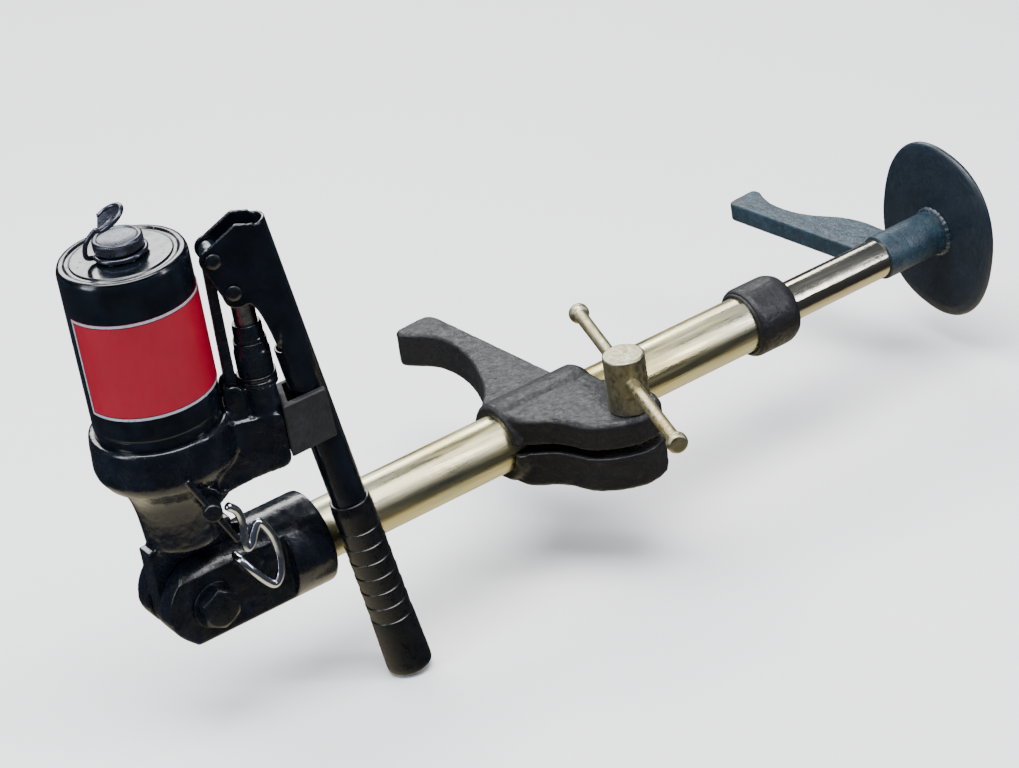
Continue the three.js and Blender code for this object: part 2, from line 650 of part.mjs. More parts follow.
function headNodes() {
  put(head, "base_casting", baseCasting(), ENAMEL);
  put(head, "reservoir_can", reservoirCan(), CAN_BLACK);
  put(head, "can_label", labelBand(), LABEL);
  const sealLow = CAN_FOOT_Z + 6 + GAP;
  put(head, "can_seal", ring(38, CAN_R - CAN_WALL - 2 - GAP, sealLow, sealLow + 2.6, 40), SEAL);
  capNodes();
  const at = (solid, s) => solid.translate([s, 0, 0]);
  const sleeve = turned([
    [PLUNGER_R + RUNNING, ARM_TOP_Z - 23],
    [BARREL_R - 2, ARM_TOP_Z - 23],
    [BARREL_R - 2, FLANGE_TOP_Z + GAP],
    [BARREL_R, FLANGE_TOP_Z + GAP],
    [BARREL_R, BARREL_TOP_Z],
    [PLUNGER_R + RUNNING, BARREL_TOP_Z],
    [PLUNGER_R + RUNNING, ARM_TOP_Z - 23],
  ], 36);
  put(arm, "pump_barrel", at(sleeve, BARREL_S), ENAMEL);
  const flange = ring(BARREL_R - 2 + GAP, COLLAR_R, COLLAR_TOP_Z + GAP, FLANGE_TOP_Z, 36);
  put(arm, "barrel_lock_ring", at(flange, BARREL_S), ENAMEL);
  const glandNut = ring(PLUNGER_R + RUNNING, BARREL_R - 1.6, BARREL_TOP_Z + GAP, GLAND_TOP_Z, 32);
  put(arm, "plunger_gland", at(glandNut, BARREL_S), ENAMEL);
  const pinLength = LINK_HALF_T + LUG_T + 1.6;
  const lowPin = alongY(cylinder(LINK_PIN_R, -pinLength, pinLength, 20));
  put(arm, "link_pin", lowPin.translate([LINK_FOOT[0], 0, LINK_FOOT[1]]), BLACK_STEEL);
  checkValveNodes(at);
  put(arm, "handle_clip", handleClip(), MATTE_BLACK);
  clipScrews();
}

// Ball checks sit in drilled pockets under the arm, each closed by a plug.
function checkValveNodes(at) {
  const low = ARM_BOTTOM_Z - 1;
  CHECK_VALVES.forEach(([name, s]) => {
    const face = low + (s - 57) * ARM_BOTTOM_SLOPE;
    const ball = solidOf(new THREE.SphereGeometry(3.2, 12, 8)).translate([0, 0, face + 9]);
    const plug = joined(cylinder(4.8, face, face + 5, 16), slab(hexagon(6.4), face - 4, face - 0.4));
    const neck = cylinder(4.2, face - 1, face + 1, 16);
    put(arm, `${name}_ball`, at(ball, s), STEEL);
    put(arm, `${name}_plug`, at(joined(plug, neck), s), BLACK_STEEL);
  });
}

// A spring fork on the arm's end: its open side faces away from the can, so the lever swings out.
function handleClip() {
  const inside = LEVER_R + 0.5;
  const outside = inside + CLIP_WALL;
  const web = ARM_END_S + GAP;
  const side = rounded([
    [web, CLIP_BOTTOM_Z - 5, 2],
    [web + 33, CLIP_BOTTOM_Z + 4, 2],
    [web + 31, CLIP_TOP_Z + 2, 3],
    [web, CLIP_TOP_Z - 5, 2],
  ]);
  const body = upright(slab(side, -outside, outside, 1, 4));
  const room = block(web + CLIP_WALL, web + 60, -inside, inside, 60, 200);
  const holes = [CLIP_BOTTOM_Z + 9, ARM_TOP_Z - 9].map((z) =>
    alongX(cylinder(2.7, web - 2, web + 8, 14)).translate([0, 0, z]));
  return cutFrom(body, room, ...holes);
}

function clipScrews() {
  [CLIP_BOTTOM_Z + 9, ARM_TOP_Z - 9].forEach((z, i) => {
    const web = ARM_END_S + GAP;
    const shank = alongX(cylinder(2.5, web + 0.2, web + CLIP_WALL + 1, 14));
    const headEnd = alongX(cylinder(4.4, web + CLIP_WALL + GAP, web + CLIP_WALL + 2.2, 16));
    put(arm, `clip_screw_${i + 1}`, joined(shank, headEnd).translate([0, 0, z]), BLACK_STEEL);
  });
}

// ---- the pumping linkage ----------------------------------------------------------------
function linkNodes() {
  const bar = upright(slab(rounded([
    [48.4, LINK_FOOT[1]],
    [56.2, LINK_FOOT[1]],
    [56.4, 228, 4],
    [60, 244, 4],
    [60, FULCRUM[1]],
    [50.2, FULCRUM[1]],
  ]), -LINK_HALF_T, LINK_HALF_T, 0.8, 4));
  const across = (radius, [s, z]) =>
    alongY(cylinder(radius, -LINK_HALF_T, LINK_HALF_T, 24)).translate([s, 0, z]);
  const holes = [[LINK_FOOT, LINK_PIN_R], [FULCRUM, PIN_R]].map(([[s, z], r]) =>
    alongY(cylinder(r + RUNNING, -20, 20, 20)).translate([s, 0, z]));
  const link = joined(bar, across(5, LINK_FOOT), across(7, FULCRUM));
  put(arm, "fulcrum_link", cutFrom(link, ...holes), ENAMEL);
}

function plungerNode() {
  const [pinS, pinZ] = PLUNGER_PIN;
  const stem = cylinder(PLUNGER_R, PLUNGER_FOOT_Z, pinZ - 4, 28).translate([BARREL_S, 0, 0]);
  const crosshead = upright(slab(rounded([
    [pinS - 5.8, pinZ - 7, 4],
    [pinS + 20, pinZ - 7, 4],
    [pinS + 20, pinZ + 7, 4],
    [pinS - 5.8, pinZ + 7, 4],
  ]), -5, 5, 0.6, 4));
  const slot = upright(slab(stadium([pinS, pinZ], [pinS + 13, pinZ], PIN_R + 1), -8, 8, 0, 10));
  put(arm, "plunger", cutFrom(joined(stem, crosshead), slot), STEEL);
}

function leverFrame(solid) {
  // from a lever standing along +Z at the origin to its place, foot down
  const [s0, z0] = LEVER_TOP;
  const lean = Math.atan2(LEVER_FOOT[0] - s0, z0 - LEVER_FOOT[1]);
  return solid.rotate([0, -THREE.MathUtils.radToDeg(lean), 0]).translate([s0, 0, z0]);
}

function leverNodes() {
  const length = Math.hypot(LEVER_FOOT[0] - LEVER_TOP[0], LEVER_TOP[1] - LEVER_FOOT[1]);
  const shell = cylinder(LEVER_R, -length, 0, 40);
  const hollow = cylinder(LEVER_R - LEVER_WALL, -length - 1, 1, 32);
  const tube = leverFrame(cutFrom(shell, hollow));
  const [fs, fz] = FULCRUM;
  const [ps, pz] = PLUNGER_PIN;
  const earSide = new THREE.Shape();
  earSide.absarc(fs, fz, 9, rad(200), rad(100), true);
  earSide.lineTo(fs + 19, fz + 22);
  earSide.lineTo(88, 272);
  earSide.lineTo(94, 200);
  earSide.lineTo(88, 176);
  earSide.bezierCurveTo(84, 196, ps + 14, pz - 12, ps + 8, pz - 11);
  earSide.bezierCurveTo(ps + 2, pz - 15, ps - 7, pz - 12, ps - 7.5, pz - 2);
  earSide.closePath();
  const ears = upright(slab(earSide, -LEVER_R + 0.2, LEVER_R - 0.2, 0.4, 8));
  const between = block(30, 92.5, -EAR_GAP_HALF, EAR_GAP_HALF, 150, 300);
  const insideTube = leverFrame(cylinder(LEVER_R - LEVER_WALL, -length - 1, 60, 32));
  const pinHoles = [FULCRUM, PLUNGER_PIN].map(([s, z]) =>
    alongY(cylinder(PIN_R + RUNNING, -20, 20, 20)).translate([s, 0, z]));
  const backWall = leverFrame(block(-LEVER_R - 1, LEVER_R * 0.3, -EAR_GAP_HALF, EAR_GAP_HALF, -98, 40));
  const mouth = leverFrame(block(-60, 6, -EAR_GAP_HALF, EAR_GAP_HALF, -6, 40));
  const lever = cutFrom(joined(tube, cutFrom(ears, between)), insideTube, ...pinHoles, backWall, mouth);
  put(arm, "pump_lever", lever, ENAMEL);
  const grip = turned([
    [LEVER_R + 0.1, -length - 3],
    [GRIP_R - 1, -length - 3],
    [GRIP_R + 0.4, -length - 1],
    [GRIP_R, -length + 12],
    [GRIP_R - 1.2, -length + GRIP_L - 6],
    [LEVER_R + 1.6, -length + GRIP_L],
    [LEVER_R + 0.1, -length + GRIP_L],
    [LEVER_R + 0.1, -length - 3],
  ], 36);
  put(arm, "lever_grip", leverFrame(grip), VINYL);
  const pinLength = LEVER_R + 1.6;
  [["fulcrum_pin", FULCRUM], ["plunger_pin", PLUNGER_PIN]].forEach(([name, [s, z]]) => {
    const shank = alongY(cylinder(PIN_R, -pinLength, pinLength, 20));
    const capHead = alongY(turned([
      [0, -pinLength - 1.2],
      [PIN_R, -pinLength - 1.2],
      [PIN_R + 1.6, -pinLength],
      [PIN_R + 1.6, -LEVER_R - 0.1],
      [0, -LEVER_R - 0.1],
    ], 20));
    put(arm, name, joined(shank, capHead).translate([s, 0, z]), BLACK_STEEL);
  });
}

// ---- the release valve ------------------------------------------------------------------
function valveNodes() {
  const place = [VALVE_S, 0, VALVE_Z];
  const spindle = alongY(turned([
    [0, VALVE_HEAD_N],
    [VALVE_HEAD_R - 1, VALVE_HEAD_N],
    [VALVE_HEAD_R, VALVE_HEAD_N + 1],
    [VALVE_HEAD_R, VALVE_HEAD_N + 12],
    [4, VALVE_HEAD_N + 14],
    [4, -20],
    [0, -15],
  ], 28));
  const bar = alongX(turned([
    [0, -VALVE_BAR_HALF],
    [VALVE_BAR_R - 0.6, -VALVE_BAR_HALF],
    [VALVE_BAR_R, -VALVE_BAR_HALF + 0.6],
    [VALVE_BAR_R, VALVE_BAR_HALF - 0.6],
    [VALVE_BAR_R - 0.6, VALVE_BAR_HALF],
    [0, VALVE_BAR_HALF],
  ], 16)).rotate([0, VALVE_BAR_TURN, 0]).translate([0, VALVE_HEAD_N + 5, 0]);
  const eye = alongX(cylinder(VALVE_BAR_R + 0.1, -20, 20, 16));
  const eyeHole = eye.rotate([0, VALVE_BAR_TURN, 0]).translate([0, VALVE_HEAD_N + 5, 0]);
  put(arm, "release_valve", cutFrom(spindle, eyeHole).translate(place), BLACK_STEEL);
  put(arm, "valve_bar", bar.translate(place), BLACK_STEEL);
}

barrelNodes();
rodNodes();
jawNodes();
headNodes();
linkNodes();
plungerNode();
leverNodes();
valveNodes();

export default part;
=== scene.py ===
import math

import bmesh
import bpy
from mathutils import Matrix, Vector, noise


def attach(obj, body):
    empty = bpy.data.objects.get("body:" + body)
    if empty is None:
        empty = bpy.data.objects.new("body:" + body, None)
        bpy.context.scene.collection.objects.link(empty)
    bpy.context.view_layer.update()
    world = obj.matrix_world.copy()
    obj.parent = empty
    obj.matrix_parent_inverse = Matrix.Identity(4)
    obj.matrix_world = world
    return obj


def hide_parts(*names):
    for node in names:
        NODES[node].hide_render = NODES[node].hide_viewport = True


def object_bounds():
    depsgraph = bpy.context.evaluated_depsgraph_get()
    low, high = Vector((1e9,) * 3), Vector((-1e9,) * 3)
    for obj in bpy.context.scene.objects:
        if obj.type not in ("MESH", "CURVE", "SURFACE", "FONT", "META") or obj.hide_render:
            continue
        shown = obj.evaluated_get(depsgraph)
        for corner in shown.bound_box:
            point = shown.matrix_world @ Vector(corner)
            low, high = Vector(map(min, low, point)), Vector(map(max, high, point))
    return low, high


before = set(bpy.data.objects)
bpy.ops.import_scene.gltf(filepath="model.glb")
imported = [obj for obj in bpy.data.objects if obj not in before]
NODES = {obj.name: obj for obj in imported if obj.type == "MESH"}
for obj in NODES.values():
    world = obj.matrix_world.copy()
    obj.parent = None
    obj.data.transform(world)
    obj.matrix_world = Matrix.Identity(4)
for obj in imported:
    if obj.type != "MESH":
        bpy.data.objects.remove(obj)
cad_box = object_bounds()

MM = 0.001
PIVOT_X = -697.0
ARM_YAW = -22.0
RAM = Matrix.Scale(MM, 4) @ Matrix.Translation((PIVOT_X, 0, 0))
ARM = RAM @ Matrix.Rotation(math.radians(ARM_YAW), 4, "Z")
ALONG_X = Matrix.Rotation(math.radians(90), 4, "Y")
ALONG_Y = Matrix.Rotation(math.radians(-90), 4, "X")
UPRIGHT = Matrix.Rotation(math.radians(90), 4, "X")  # outline in s and z, thickness along -n


def linear(red, green, blue):
    """An 8-bit display colour as linear light."""
    shares = [c / 255 for c in (red, green, blue)]
    return tuple(((c + 0.055) / 1.055) ** 2.4 if c > 10 / 255 else c / 12.92 for c in shares)


# ---- materials ---------------------------------------------------------------------------
class Finish:
    """A Principled material with helpers for its procedural layers, in object coordinates."""

    def __init__(self, name, base, roughness, metallic=0.0, coat=0.0, specular=0.5, anisotropic=0.0):
        self.material = bpy.data.materials.new(name)
        self.material.use_nodes = True
        self.tree = self.material.node_tree
        self.nodes = self.tree.nodes
        self.shader = self.nodes["Principled BSDF"]
        self.set("Base Color", (*base, 1))
        self.set("Roughness", roughness)
        self.set("Metallic", metallic)
        self.set("Coat Weight", coat)
        self.set("Coat Roughness", 0.08)
        self.set("Specular IOR Level", specular)
        self.set("Anisotropic", anisotropic)
        self.base = base
        self.place = self.nodes.new("ShaderNodeTexCoord").outputs["Object"]
        self.normal = None

    def set(self, socket, value):
        self.shader.inputs[socket].default_value = value

    def link(self, source, target):
        self.tree.links.new(source, target)

    def stretched(self, scale):
        mapping = self.nodes.new("ShaderNodeMapping")
        mapping.inputs["Scale"].default_value = scale
        self.link(self.place, mapping.inputs["Vector"])
        return mapping.outputs["Vector"]

    def noise(self, scale, detail=3.0, roughness=0.55, stretch=None):
        node = self.nodes.new("ShaderNodeTexNoise")
        node.inputs["Scale"].default_value = scale
        node.inputs["Detail"].default_value = detail
        node.inputs["Roughness"].default_value = roughness
        self.link(self.stretched(stretch) if stretch else self.place, node.inputs["Vector"])
        return node.outputs["Fac"]

    def cells(self, scale):
        node = self.nodes.new("ShaderNodeTexVoronoi")
        node.inputs["Scale"].default_value = scale
        self.link(self.place, node.inputs["Vector"])
        return node.outputs["Distance"]

    def span(self, source, low, high, to_low=0.0, to_high=1.0):
        node = self.nodes.new("ShaderNodeMapRange")
        limits = {"From Min": low, "From Max": high, "To Min": to_low, "To Max": to_high}
        for socket, value in limits.items():
            node.inputs[socket].default_value = value
        self.link(source, node.inputs["Value"])
        return node.outputs["Result"]

    def tint(self, factor, colour):
        """Mixes another colour into the base where factor is high."""
        node = self.nodes.new("ShaderNodeMix")
        node.data_type = "RGBA"
        socket = self.shader.inputs["Base Color"]
        node.inputs[6].default_value = (*self.base, 1)
        if socket.is_linked:
            self.link(socket.links[0].from_socket, node.inputs[6])
        node.inputs[7].default_value = (*colour, 1)
        self.link(factor, node.inputs[0])
        self.link(node.outputs[2], socket)

    def vary_roughness(self, source, low, high, to_low, to_high):
        self.link(self.span(source, low, high, to_low, to_high), self.shader.inputs["Roughness"])

    def bump(self, height, distance, strength=1.0):
        node = self.nodes.new("ShaderNodeBump")
        node.inputs["Distance"].default_value = distance
        node.inputs["Strength"].default_value = strength
        self.link(height, node.inputs["Height"])
        if self.normal:
            self.link(self.normal, node.inputs["Normal"])
        self.normal = node.outputs["Normal"]
        self.link(self.normal, self.shader.inputs["Normal"])
        if self.shader.inputs["Coat Weight"].default_value > 0:
            self.link(self.normal, self.shader.inputs["Coat Normal"])


def enamel(name, base, roughness=0.22, peel=0.00012, lumps=0.0006):
    """Thick gloss enamel over a casting: lumps, orange peel, a few dust pips."""
    finish = Finish(name, base, roughness, coat=0.3, specular=0.4)
    finish.tint(finish.span(finish.noise(60), 0.4, 0.75), tuple(2.2 * c for c in base))
    finish.vary_roughness(finish.noise(140), 0.3, 0.7, roughness * 0.7, roughness * 1.5)
    finish.bump(finish.noise(55, 2), lumps)
    finish.bump(finish.noise(420, 2), peel)
    finish.bump(finish.span(finish.cells(130), 0.02, 0.1, 1, 0), 0.00012)
    return finish.material


def rough_cast(name, base, speck, roughness=0.45):
    """Paint over a rough casting: pits, grain and pale specks."""
    finish = Finish(name, base, roughness, coat=0.15)
    finish.tint(finish.span(finish.noise(90), 0.45, 0.8, 0, 0.6), speck)
    finish.tint(finish.span(finish.noise(1300, 1), 0.66, 0.76), tuple(3 * c for c in speck))
    finish.vary_roughness(finish.noise(300), 0.3, 0.7, roughness * 0.75, roughness * 1.35)
    finish.bump(finish.noise(120, 4), 0.0009)
    finish.bump(finish.noise(900, 2), 0.00022)
    return finish.material


def zinc(name, base, gold, smoky, grain=(0.06, 1, 1), roughness=0.3):
    """Yellow passivated zinc on drawn steel: drifting gold tint, long scratches, small stains."""
    finish = Finish(name, base, roughness, metallic=1.0, anisotropic=0.35)
    finish.tint(finish.span(finish.noise(22, 4, stretch=(0.35, 1, 1)), 0.38, 0.72), gold)
    finish.tint(finish.span(finish.noise(150, 5, stretch=grain), 0.55, 0.85, 0, 0.55), smoky)
    finish.tint(finish.span(finish.noise(420, 2), 0.68, 0.78, 0, 0.7), smoky)
    finish.vary_roughness(finish.noise(260, 4, stretch=grain), 0.3, 0.7, roughness * 0.7, roughness * 1.5)
    finish.bump(finish.noise(700, 3, stretch=grain), 0.00006)
    finish.bump(finish.noise(90, 3), 0.00015)
    return finish.material


def machined(name, base, roughness, metallic=1.0, stretch=(0.05, 1, 1), coat=0.0):
    finish = Finish(name, base, roughness, metallic=metallic, coat=coat)
    darker = tuple(0.4 * c for c in base)
    finish.tint(finish.span(finish.noise(200, 4, stretch=stretch), 0.5, 0.9, 0, 0.6), darker)
    finish.vary_roughness(finish.noise(500, 3, stretch=stretch), 0.3, 0.7, roughness * 0.7, roughness * 1.4)
    finish.bump(finish.noise(900, 2, stretch=stretch), 0.00003)
    return finish.material


def satin(name, base, sparkle, roughness):
    """Satin paint with a fine metallic-looking sparkle and light scuffs."""
    finish = Finish(name, base, roughness, coat=0.1)
    finish.tint(finish.span(finish.noise(45, 4), 0.35, 0.8, 0, 0.7), tuple(1.8 * c for c in base))
    finish.tint(finish.span(finish.noise(1700, 1), 0.63, 0.74), sparkle)
    finish.tint(finish.span(finish.cells(95), 0.0, 0.045, 1, 0), tuple(2 * c for c in sparkle))
    finish.vary_roughness(finish.noise(220), 0.3, 0.7, roughness * 0.8, roughness * 1.25)
    finish.bump(finish.noise(1100, 2), 0.00012)
    return finish.material


def grain(name, base, roughness, distance, scale, specular=0.5, coat=0.0):
    finish = Finish(name, base, roughness, specular=specular, coat=coat)
    finish.tint(finish.span(finish.noise(80, 3), 0.4, 0.8), tuple(1.9 * c for c in base))
    finish.vary_roughness(finish.noise(180), 0.3, 0.7, roughness * 0.75, roughness * 1.3)
    finish.bump(finish.noise(scale, 3), distance)
    return finish.material


def label_print(name, base):
    """Satin printed film: an even colour with faint wrinkles."""
    finish = Finish(name, base, 0.36, coat=0.15, specular=0.3)
    finish.tint(finish.span(finish.noise(30, 2), 0.4, 0.8, 0, 0.5), tuple(0.8 * c for c in base))
    finish.vary_roughness(finish.noise(150), 0.3, 0.7, 0.3, 0.42)
    finish.bump(finish.noise(90, 2), 0.00004)
    return finish.material


ENAMEL = enamel("enamel", linear(6, 10, 17))
LEVER_BLACK = enamel("lever_enamel", linear(5, 8, 14), 0.16, 0.00008, 0.00025)
CAN_BLACK = enamel("can_paint", linear(5, 9, 15), 0.18, 0.00005, 0.0001)
CAST = rough_cast("rough_black_cast", linear(3, 3, 7), linear(10, 12, 20), 0.6)
TEAL = rough_cast("teal_forging", linear(13, 34, 46), linear(34, 66, 80), 0.5)
ZINC = zinc("yellow_zinc", linear(205, 205, 176), linear(214, 196, 128), linear(96, 100, 98))
DULL_ZINC = zinc("dull_zinc", linear(168, 164, 140), linear(172, 158, 112), linear(84, 74, 64),
                 (1, 1, 1), 0.42)
ROD = zinc("rod_chrome", linear(196, 190, 170), linear(206, 190, 140), linear(70, 64, 66),
           (0.05, 1, 1), 0.16)
CHROME = machined("bright_wire", linear(222, 226, 234), 0.14)
STEEL = machined("bare_steel", linear(165, 168, 172), 0.3)
BLACK_STEEL = enamel("black_steel", linear(6, 9, 14), 0.25, 0.00006, 0.0002)
WIRE_BLACK = machined("dark_wire", linear(44, 48, 60), 0.25, 0.7, (1, 1, 1), 0.4)
KNURL = machined("knurled_cap", linear(58, 62, 72), 0.3, 0.75, (1, 1, 1), 0.2)
PAD = satin("pad_paint", linear(12, 23, 33), linear(46, 66, 84), 0.45)
CLIP = grain("matte_clip", linear(20, 21, 26), 0.6, 0.00012, 900)
VINYL = grain("grip_vinyl", linear(5, 7, 10), 0.3, 0.00006, 500, coat=0.3)
RUBBER = grain("black_rubber", linear(18, 18, 19), 0.75, 0.00008, 700)
BRONZE = machined("bronze", linear(170, 128, 76), 0.35)
CRIMSON = label_print("label_crimson", (0.25, 0.0, 0.012))
SILVER = machined("label_silver", linear(205, 208, 222), 0.34, 0.6, (1, 1, 1))
WELD = rough_cast("weld_bead", linear(14, 28, 38), linear(58, 70, 82), 0.4)


# ---- mesh helpers --------------------------------------------------------------------------
def rounded(points, steps=4):
    """Profile corners with a third number become curves, held by a support point on each side."""
    out = []
    for i, point in enumerate(points):
        x, y, radius = (*point, 0)[:3]
        if not radius or i in (0, len(points) - 1):
            out.append((x, y))
            continue
        here = Vector((x, y))
        before = (Vector(points[i - 1][:2]) - here).normalized()
        after = (Vector(points[i + 1][:2]) - here).normalized()
        out.append(tuple(here + before * radius * 1.35))
        for k in range(steps + 1):
            t = k / steps
            spot = here + before * radius * (1 - t) ** 2 + after * radius * t ** 2
            out.append(tuple(spot))
        out.append(tuple(here + after * radius * 1.35))
    return out


def finished(name, bm, matrix, smooth_angle=40):
    """Turns a bmesh in millimetres into a placed object in metres."""
    bmesh.ops.transform(bm, matrix=matrix, verts=bm.verts)
    bmesh.ops.recalc_face_normals(bm, faces=bm.faces)
    mesh = bpy.data.meshes.new(name)
    bm.to_mesh(mesh)
    bm.free()
    mesh.shade_smooth()
    mesh.set_sharp_from_angle(angle=math.radians(smooth_angle))
    piece = bpy.data.objects.new(name, mesh)
    bpy.context.scene.collection.objects.link(piece)
    return piece


def lathe(points, segments=128):
    """A closed turned solid about Z.

    Points on the axis become poles; a profile that starts off the axis closes on itself.
    """
    bm = bmesh.new()
    loops = []
    for radius, height in points:
        if radius < 1e-6:
            loops.append([bm.verts.new((0, 0, height))])
            continue
        turn = [2 * math.pi * i / segments for i in range(segments)]
        loops.append([bm.verts.new((radius * math.cos(a), radius * math.sin(a), height)) for a in turn])
    closed = points[0][0] > 1e-6
    pairs = list(zip(loops, loops[1:] + loops[:1])) if closed else list(zip(loops, loops[1:]))
    for low, high in pairs:
        for i in range(segments):
            k = (i + 1) % segments
            corners = [low[i % len(low)], low[k % len(low)], high[k % len(high)], high[i % len(high)]]
            corners = list(dict.fromkeys(corners))
            if len(corners) > 2:
                bm.faces.new(corners)
    return bm


def turned(name, points, matrix, segments=128):
    return finished(name, lathe(rounded(points), segments), matrix)


def prism(outline, low, high):
    """An outline in x and y between two heights."""
    bm = bmesh.new()
    rings = [[bm.verts.new((x, y, z)) for x, y in outline] for z in (low, high)]
    bm.faces.new(rings[0][::-1])
    bm.faces.new(rings[1])
    for i in range(len(outline)):
        k = (i + 1) % len(outline)
        bm.faces.new([rings[0][i], rings[0][k], rings[1][k], rings[1][i]])
    return bm


def arc(cx, cy, radius, start, end, steps=24):
    angles = [math.radians(start + (end - start) * i / steps) for i in range(steps + 1)]
    return [(cx + radius * math.cos(a), cy + radius * math.sin(a)) for a in angles]


def round_corners(points, steps=5):
    """A closed outline whose third numbers are corner radii."""
    around = rounded([points[-1], *points, points[0]], steps)
    return around[1:-1]


def smooth_route(points, per_span):
    """Points along a smooth spline through the given ones."""
    route = [Vector(p) for p in points]
    padded = [2 * route[0] - route[1], *route, 2 * route[-1] - route[-2]]
    path = []
    for a, b, c, d in zip(padded, padded[1:], padded[2:], padded[3:]):
        for i in range(per_span):
            t = i / per_span
            path.append(0.5 * (2 * b + (c - a) * t + (2 * a - 5 * b + 4 * c - d) * t * t
                               + (3 * b - a - 3 * c + d) * t ** 3))
    path.append(route[-1])
    return path


def tube_along(points, radius, sides=20, per_span=6):
    """A round wire along a smooth route, as a bmesh in millimetres."""
    path = smooth_route(points, per_span)
    bm = bmesh.new()
    side = (path[1] - path[0]).orthogonal().normalized()
    rings = []
    for i, spot in enumerate(path):
        ahead = path[min(i + 1, len(path) - 1)] - path[max(i - 1, 0)]
        ahead.normalize()
        side = (side - ahead * side.dot(ahead)).normalized()
        up = ahead.cross(side)
        ring = [spot + radius * (side * math.cos(a) + up * math.sin(a))
                for a in (2 * math.pi * k / sides for k in range(sides))]
        rings.append([bm.verts.new(p) for p in ring])
    for low, high in zip(rings, rings[1:]):
        for k in range(sides):
            n = (k + 1) % sides
            bm.faces.new([low[k], low[n], high[n], high[k]])
    for ring, spot in ((rings[0], path[0] + (path[0] - path[1]).normalized() * radius * 0.5),
                       (rings[-1], path[-1] + (path[-1] - path[-2]).normalized() * radius * 0.5)):
        tip = bm.verts.new(spot)
        for k in range(sides):
            bm.faces.new([ring[k], ring[(k + 1) % sides], tip])
    return bm


def applied(piece):
    """Applies every modifier on a piece."""
    bpy.context.view_layer.update()
    made = bpy.data.meshes.new_from_object(piece.evaluated_get(bpy.context.evaluated_depsgraph_get()))
    piece.modifiers.clear()
    piece.data = made
    return piece


def carve(piece, cutters):
    """Cuts closed solids out of a piece."""
    for cutter in cutters:
        cut = piece.modifiers.new("cut", "BOOLEAN")
        cut.operation = "DIFFERENCE"
        cut.solver = "MANIFOLD"
        cut.object = cutter
    applied(piece)
    for cutter in cutters:
        bpy.data.objects.remove(cutter)
    return piece


def cut_to(piece, keep):
    """Keeps only what lies inside another solid."""
    meet = piece.modifiers.new("meet", "BOOLEAN")
    meet.operation = "INTERSECT"
    meet.solver = "MANIFOLD"
    meet.object = keep
    applied(piece)
    bpy.data.objects.remove(keep)


def shaded(piece, sharp_angle):
    """Smooth shading, with edges past an angle left sharp."""
    piece.data.shade_smooth()
    piece.data.set_sharp_from_angle(angle=math.radians(sharp_angle))


def bevelled(piece, width, angle):
    """Rounds the edges that are sharper than an angle."""
    edge = piece.modifiers.new("edge", "BEVEL")
    edge.width = width * MM
    edge.segments = 3
    edge.limit_method = "ANGLE"
    edge.angle_limit = math.radians(angle)
    applied(piece)
    shaded(piece, 30)


def soften(piece, voxel, passes, factor=0.5):
    """Fuses what overlaps and rounds the edges, as sand casting and paint do."""
    remesh = piece.modifiers.new("fuse", "REMESH")
    remesh.mode = "VOXEL"
    remesh.voxel_size = voxel * MM
    relax = piece.modifiers.new("relax", "SMOOTH")
    relax.factor = factor
    relax.iterations = passes
    applied(piece)
    piece.data.shade_smooth()
    return piece


def ripple(piece, size, height):
    """Sinks the surface a little here and there, so a casting isn't perfectly even."""
    mesh = piece.data
    outward = [vertex.normal.copy() for vertex in mesh.vertices]
    for vertex, normal in zip(mesh.vertices, outward):
        wave = noise.noise(vertex.co / (size * MM)) + 0.5 * noise.noise(vertex.co / (size * 0.37 * MM))
        vertex.co += normal * (min(wave, 0.0) * height * MM)
    mesh.update()


def joined(meshes):
    """Several bmeshes in one, still overlapping."""
    bm = bmesh.new()
    for part in meshes:
        part_mesh = bpy.data.meshes.new("part")
        part.to_mesh(part_mesh)
        part.free()
        bm.from_mesh(part_mesh)
        bpy.data.meshes.remove(part_mesh)
    return bm


def moved(bm, matrix):
    bmesh.ops.transform(bm, matrix=matrix, verts=bm.verts)
    return bm


def copied(name, node):
    piece = bpy.data.objects.new(name, NODES[node].data.copy())
    bpy.context.scene.collection.objects.link(piece)
    return piece


def show(piece, body, material, slot, *nodes):
    """Rides a piece on its body, in place of its CAD nodes."""
    if piece.data.materials:
        piece.data.materials.clear()
    for each in material if isinstance(material, list) else [material]:
        piece.data.materials.append(each)
    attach(piece, body)
    if nodes:
        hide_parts(*nodes)


# ---- camera and studio ---------------------------------------------------------------------
def camera():
    data = bpy.data.cameras.new("camera")
    data.lens = 106
    data.sensor_width = 36
    right = Vector((0.80677, -0.57419, -0.13939))
    up = Vector((0.38615, 0.33381, 0.85992))
    back = right.cross(up)
    turn = Matrix((right, up, back)).transposed().to_4x4()
    piece = bpy.data.objects.new("camera", data)
    piece.matrix_world = Matrix.Translation((-1.4024, -1.6418, 1.1215)) @ turn
    bpy.context.scene.collection.objects.link(piece)
    bpy.context.scene.camera = piece


def area_light(name, place, target, size, power, colour=(1, 1, 1)):
    data = bpy.data.lights.new(name, "AREA")
    data.shape = "RECTANGLE"
    data.size, data.size_y = size
    data.energy = power
    data.color = colour
    piece = bpy.data.objects.new(name, data)
    piece.location = place
    piece.rotation_euler = (Vector(target) - Vector(place)).to_track_quat("-Z", "Y").to_euler()
    bpy.context.scene.collection.objects.link(piece)


